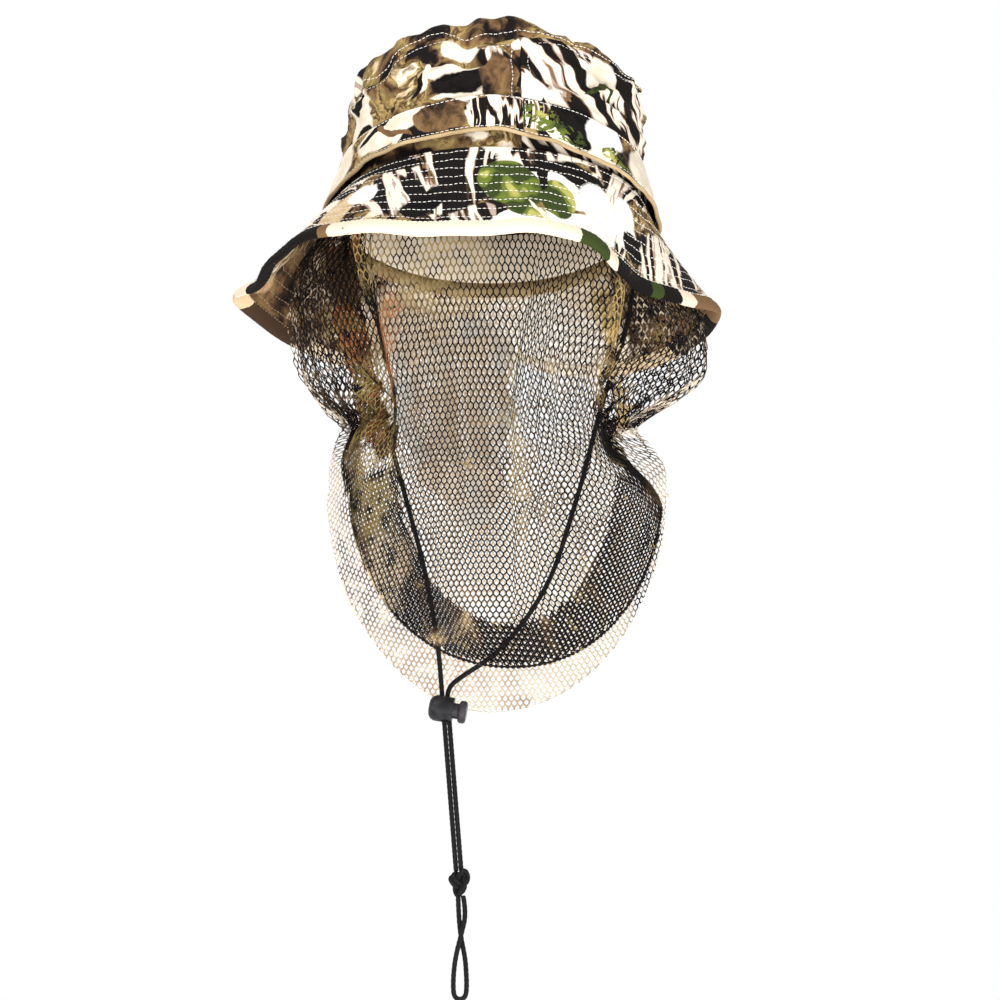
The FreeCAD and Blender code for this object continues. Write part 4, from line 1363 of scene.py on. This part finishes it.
def selvedge(name, drape, bib, material, nodes, radius, push):
    """A cord-like edge with small scallops along a bib's outline."""
    path, normals = bib_edge(drape, bib, 0.6)
    for _ in range(3):
        path[1:-1] = (path[:-2] + path[1:-1] * 2 + path[2:]) / 4
    path = resampled(path + normals * push, 0.45)
    points, faces = tube(path, radius, EDGE_SIDES, relief=scalloped)
    flat = np.repeat(path[:, [0, 2, 1]], EDGE_SIDES, 0) * MM
    make_mesh(name, points, faces, material, "veil_skirt", nodes, flat)


# lines along which a panel lies in several layers: height, x and half width
LEFT_GATHER = [(-36, -94, 10), (-60, -92, 10), (-98, -86, 10), (-136, -76, 10), (-170, -67, 9),
               (-186, -65, 5)]
RIGHT_GATHER = [(-80, 66, 6), (-96, 70, 8), (-120, 78, 7), (-148, 86, 7), (-175, 80, 7), (-186, 80, 5)]
BACK_GATHER = [(-22, -32, 30), (-60, -24, 42), (-110, -26, 38), (-150, -20, 26), (-188, -8, 9)]
# layers are (push outwards, (shift across, shift up))
SINGLE = [(0.0, (0.0, 0.0))]
SINGLE_BIB = [(0.06, (0.0, 0.0))]
DOUBLED = [(1.0, (1.3, 1.1)), (2.0, (-0.9, -1.4))]
GATHERED = [(0.9, (1.3, 1.1)), (1.7, (-0.9, -1.5)), (2.5, (0.6, -2.3))]


def near_line(line):
    """Test for places within a line's half width of it."""
    heights, middles, half_widths = (np.array(part, float) for part in zip(*line[::-1]))

    def inside(width, height, place):
        reach = np.interp(height, heights, half_widths) * (1 + 0.12 * np.sin(height / 9))
        beside = np.abs(place[..., 0] - np.interp(height, heights, middles)) < reach
        return beside & (height < heights[-1]) & (height > heights[0])
    return inside


def gathers_up(piece):
    """Net between the brim's edge and the bibs: its placement is baked into its points."""
    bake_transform(piece)


def make_veil(paints):
    """The panels, gathers, doubled bands and edges of the net; paints are its materials by name."""
    front = Drape(FRONT_SECTIONS, -1, FRONT_FOLDS, at_sides, 0.4)
    back = Drape(BACK_SECTIONS, 1, BACK_FOLDS, at_back, 2.0)
    for name, drape in (("front", front), ("back", back)):
        piece = make_net(f"net_upper_{name}", drape, paints[name], None, [f"veil_upper_{name}"],
                         SINGLE, above_split, THREAD[name])
        gathers_up(piece)

    for name, drape, line, layers in (("left", front, LEFT_GATHER, GATHERED),
                                      ("right", front, RIGHT_GATHER, GATHERED[:2]),
                                      ("back", back, BACK_GATHER, GATHERED[:2])):
        gathers_up(make_net(f"net_gather_{name}", drape, paints["gather_" + name], None, [], layers,
                            near_line(line), THREAD["gather"]))

    make_net("net_hem_front", front, paints["hem"], "veil_skirt", ["veil_hem_front"], DOUBLED,
             in_bib(BIB_FRONT, 0.0, HEM_FRONT), THREAD["hem"])
    gathers_up(make_net("net_hem_sides", front, paints["hem"], None, [], DOUBLED,
                        by_slit(front), THREAD["hem"]))
    selvedge("net_edge_front", front, BIB_FRONT, paints["hem"], [], 0.85, 1.2)
    bib = make_net("net_bib_front", front, paints["front"], "veil_skirt", ["veil_bib_front"],
                   SINGLE_BIB, in_bib(BIB_FRONT, 0.0), THREAD["front"])
    rear = make_net("net_bib_back", back, paints["back"], "veil_skirt", ["veil_bib_back"],
                    SINGLE_BIB, in_bib(BIB_BACK, 0.5), THREAD["back"])
    selvedge("net_edge_back", back, BIB_BACK, paints["edge"], ["veil_hem_back"], 0.9, 0.4)


# ---------------------------------------------------------------- lock
# the spring's coil stands between the bore's end and the plunger's stem
COIL_ENDS = (-8.9, -5.5)
COIL_RADIUS = 3.4
COIL_WIRE = 0.2


def paint_node(name, material):
    """Gives a CAD node a material in place of its own."""
    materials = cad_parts[name].data.materials
    materials.clear()
    materials.append(material)


def make_lock():
    paint_node("lock_barrel", moulded("lock_satin_plastic", (0.012, 0.012, 0.013), 0.42))
    paint_node("lock_plunger", moulded("plunger_satin_plastic", (0.03, 0.027, 0.03), 0.45))
    webbing = moulded("tab_webbing", (0.012, 0.012, 0.012), 0.8)
    for name in ("cord_tab_left", "cord_tab_right"):
        paint_node(name, webbing)
    # two and a half turns
    turn = np.linspace(0, 5 * math.pi, 150)[:, None]
    along = np.linspace(*COIL_ENDS, 150)[:, None]
    around = np.cos(turn) * np.array([0, 1.0, 0]) + np.sin(turn) * BARREL_UP
    path = LOCK_CENTRE + along * BARREL + COIL_RADIUS * around
    points, faces = tube(path, COIL_WIRE, 8)
    coil = make_mesh("lock_spring_coil", points, faces, steel(), "cord_lock",
                     ["lock_spring"])
    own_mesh(coil)
    return coil


# ---------------------------------------------------------------- prints and materials by place
# Placed parts of the print; one patch on the brim's top is painted shadow and two on its underside are
# painted light,
# each marked. On the crown: length round it from the front, and height (the flap's heights are FLAP_PRINT
# lower). On the brim and the net: flat places from above and on the cut panel.
LEFT_PATCHES = [
    ((-60, 40), (60, 50), 0, "litter"), ((-19, 74), (11, 8), 10, CREAM),
    ((-22, 56), (24, 6), -6, CREAM), ((-14, 41), (24, 4), 4, CREAM), ((-15, 49), (23, 8.5), 3, BLACK),
    ((-42, 56), (3, 10), -20, CREAM), ((-47, 52), (2, 9), -20, BLACK), ((5, 52), (12, 17), 0, "brown"),
    ((-96, 44), (12, 26), 10, CREAM), ((-99, 58), (7, 10), 0, BLACK), ((-92, 30), (9, 6), 0, BLACK),
    ((-66, -166), (26, 12), 15, CREAM), ((-70, -160), (22, 3), 30, BLACK),
    ((-60, -170), (16, 2.2), -30, BROWN),
    ((-28, -166), (20, 11), 0, "brown"), ((4, -165), (20, 12), 0, ("bark", 0, 120)),
    ((-112, -176), (16, 20), 0, CREAM)]
RIGHT_PATCHES = [
    ((70, 50), (62, 52), 0, ("bark", 42)), ((24, 44), (9, 11), 0, WHITE), ((80, 66), (16, 13), 0, CREAM),
    ((76, 58), (14, 2.2), 40, GREEN), ((84, 56), (10, 2.0), 100, GREEN),
    ((26, -165), (14, 12), 0, ("bark", 0, 110)), ((30, -168), (18, 9), -10, "sprig"),
    ((52, -168), (9, 16), 30, BLACK), ((46, -175), (14, 7), -20, "sprig"), ((74, -166), (16, 12), 0, WHITE),
    ((82, -181), (12, 7), -20, "sprig"), ((118, -180), (24, 17), 0, CREAM)]
BRIM_PATCHES = [
    # ((-68, -78), (34, 8), -41, BLACK) is painted shadow: the deep shade under the flap's left edge,
    # painted black on the brim's first rows.
    ((-42, -118), (52, 34), -10, ("bark", 0)), ((-68, -78), (34, 8), -41, BLACK),
    ((-52, -138), (20, 11), 14, BLACK), ((56, -102), (34, 12), 32, BLACK),
    ((88, -108), (24, 22), -50, WHITE), ((60, -126), (20, 9), 30, WHITE),
    ((108, -78), (14, 22), 20, WHITE), ((-111, -102), (24, 12), 48, TAN),
    ((-89, -99), (11, 12), 40, WHITE), ((-122, -70), (14, 10), 60, CREAM),
    ((143, -32), (20, 42), -5, ("bark", 60)), ((133, -20), (3, 12), 20, CREAM),
    ((34, -157), (36, 7), 12, WHITE), ((82, -137), (30, 10), 38, WHITE), ((44, -118), (22, 7), 18, WHITE),
    ((16, -131), (25, 19), -24, "leaf"), ((52, -132), (15, 17), 20, "leaf"),
    ((30, -152), (16, 7), 0, "leaf"),
    ((38, -119), (4, 9), 10, BLACK), ((126, -76), (10, 15), -40, BLACK),
    ((40, -150), (14, 2), -35, CREAM)]
UNDER_PATCHES = [
    # The first two patches are painted light: pale colours that offset the shade under the rear brim inside
    # the hat, near white at the centre right.
    ((0, 132), (100, 60), 0, (0.93, 0.82, 0.66)), ((36, 136), (46, 34), 0, (0.97, 0.94, 0.88)),
    ((-70, 122), (18, 30), 30, (0.80, 0.60, 0.40)), ((-30, 150), (24, 12), 10, (0.66, 0.50, 0.36)),
    ((128, 60), (34, 60), 20, "brown"), ((-132, 40), (30, 70), 0, "brown"),
    ((-150, 10), (10, 30), 0, (0.50, 0.33, 0.18))]

FRONT_PATCHES = [
    ((-31, -78), (34, 24), 20, OLIVE), ((-74, -120), (9, 42), -12, RUST), ((-86, -60), (26, 18), 0, GOLD),
    ((20, -200), (9, 60), 5, OLIVE), ((100, -90), (12, 50), 0, GOLD), ((-112, -140), (30, 26), 0, OLIVE),
    ((-96, -190), (24, 50), 10, OLIVE), ((-26, -60), (16, 7), 0, GOLD)]
BACK_PATCHES = [
    ((-36, -60), (44, 60), 0, TAN), ((-6, -160), (56, 34), 0, TAN),
    ((-50, -120), (20, 36), 0, (0.56, 0.31, 0.16)), ((-84, -225), (44, 60), 0, (0.22, 0.15, 0.11)),
    ((-50, -285), (60, 22), 0, (0.55, 0.40, 0.26)), ((36, -70), (26, 50), 0, WHITE),
    ((70, -260), (50, 60), 0, (0.70, 0.60, 0.44)), ((116, -238), (13, 48), -8, BLACK),
    ((165, -75), (74, 92), 0, BLACK), ((-165, -75), (74, 92), 0, DARK_BROWN)]
HEM_PATCHES = [
    ((-125, -170), (30, 40), 0, OLIVE), ((-95, -215), (20, 26), 0, OLIVE), ((-82, -262), (22, 26), 25, TAN)]


def net_paints():
    """Materials of the net by the part of the veil that they are for."""
    front = [(0.0, BLACK), (0.56, BLACK), (0.62, DARK_BROWN), (0.70, OLIVE)]
    back = [(0.0, LIGHT_BROWN), (0.38, LIGHT_BROWN), (0.48, PALE), (0.62, WARM)]
    hem = [(0.0, BLACK), (0.55, BLACK), (0.62, DARK_BROWN), (0.68, TAN)]
    edge = [(0.0, TAN), (0.42, CREAM), (0.6, WHITE)]
    fold = [(0.0, BROWN), (0.45, DARK_BROWN), (0.55, RUST), (0.64, OLIVE)]
    strip = [(0.0, OLIVE), (0.45, GOLD), (0.6, TAN)]
    warm = [(0.0, PALE), (0.45, WARM), (0.62, WHITE)]
    return {
        "front": net_threads("net_front_print", front, FRONT_PATCHES, [(0.63, BLACK), (0.67, OLIVE)]),
        "back": net_threads("net_back_print", back, BACK_PATCHES),
        "hem": net_threads("net_hem_print", hem, HEM_PATCHES, [(0.62, OLIVE)]),
        "edge": net_threads("net_edge_print", edge),
        "gather_left": net_threads("net_fold_print", fold, spots=[(0.60, BLACK)]),
        "gather_right": net_threads("net_strip_print", strip, spots=[(0.64, BROWN)]),
        "gather_back": net_threads("net_warm_print", warm)}


make_camera()
make_studio()
make_cords(make_lock())
crown_cloths = {"left": camouflage("camouflage_left", LEFT_PATCHES, 10, (0.31, 0.12, 0), 0.58),
                "right": camouflage("camouflage_right", RIGHT_PATCHES, 42, (0.11, 0.52, 0), 0.5)}
brim_cloth = camouflage("camouflage_brim", BRIM_PATCHES, 20, (0.7, 0.3, 0), 0.48)
underside = camouflage("camouflage_under", UNDER_PATCHES, 15, (0.2, 0.9, 0), 0.55)
thread = plain_cloth("stitch_thread", (0.97, 0.95, 0.90), (0.90, 0.85, 0.76), 200, 0.7)
tan_thread = plain_cloth("stitch_thread_under", (0.52, 0.41, 0.27), (0.42, 0.32, 0.2), 200, 0.7)
beige = plain_cloth("sweatband_twill", (0.93, 0.82, 0.68), (0.86, 0.74, 0.58))
tan = plain_cloth("piping_twill", (0.52, 0.39, 0.22), (0.40, 0.28, 0.14))
lining = plain_cloth("interlining_cloth", (0.6, 0.58, 0.52), (0.5, 0.48, 0.42))
make_crown(crown_cloths, thread)
make_flap(crown_cloths, thread, tan)
make_bands(beige, tan)
make_brim(brim_cloth, underside, lining, binding_cloth(), thread, tan_thread)
make_veil(net_paints())

bpy.context.view_layer.update()
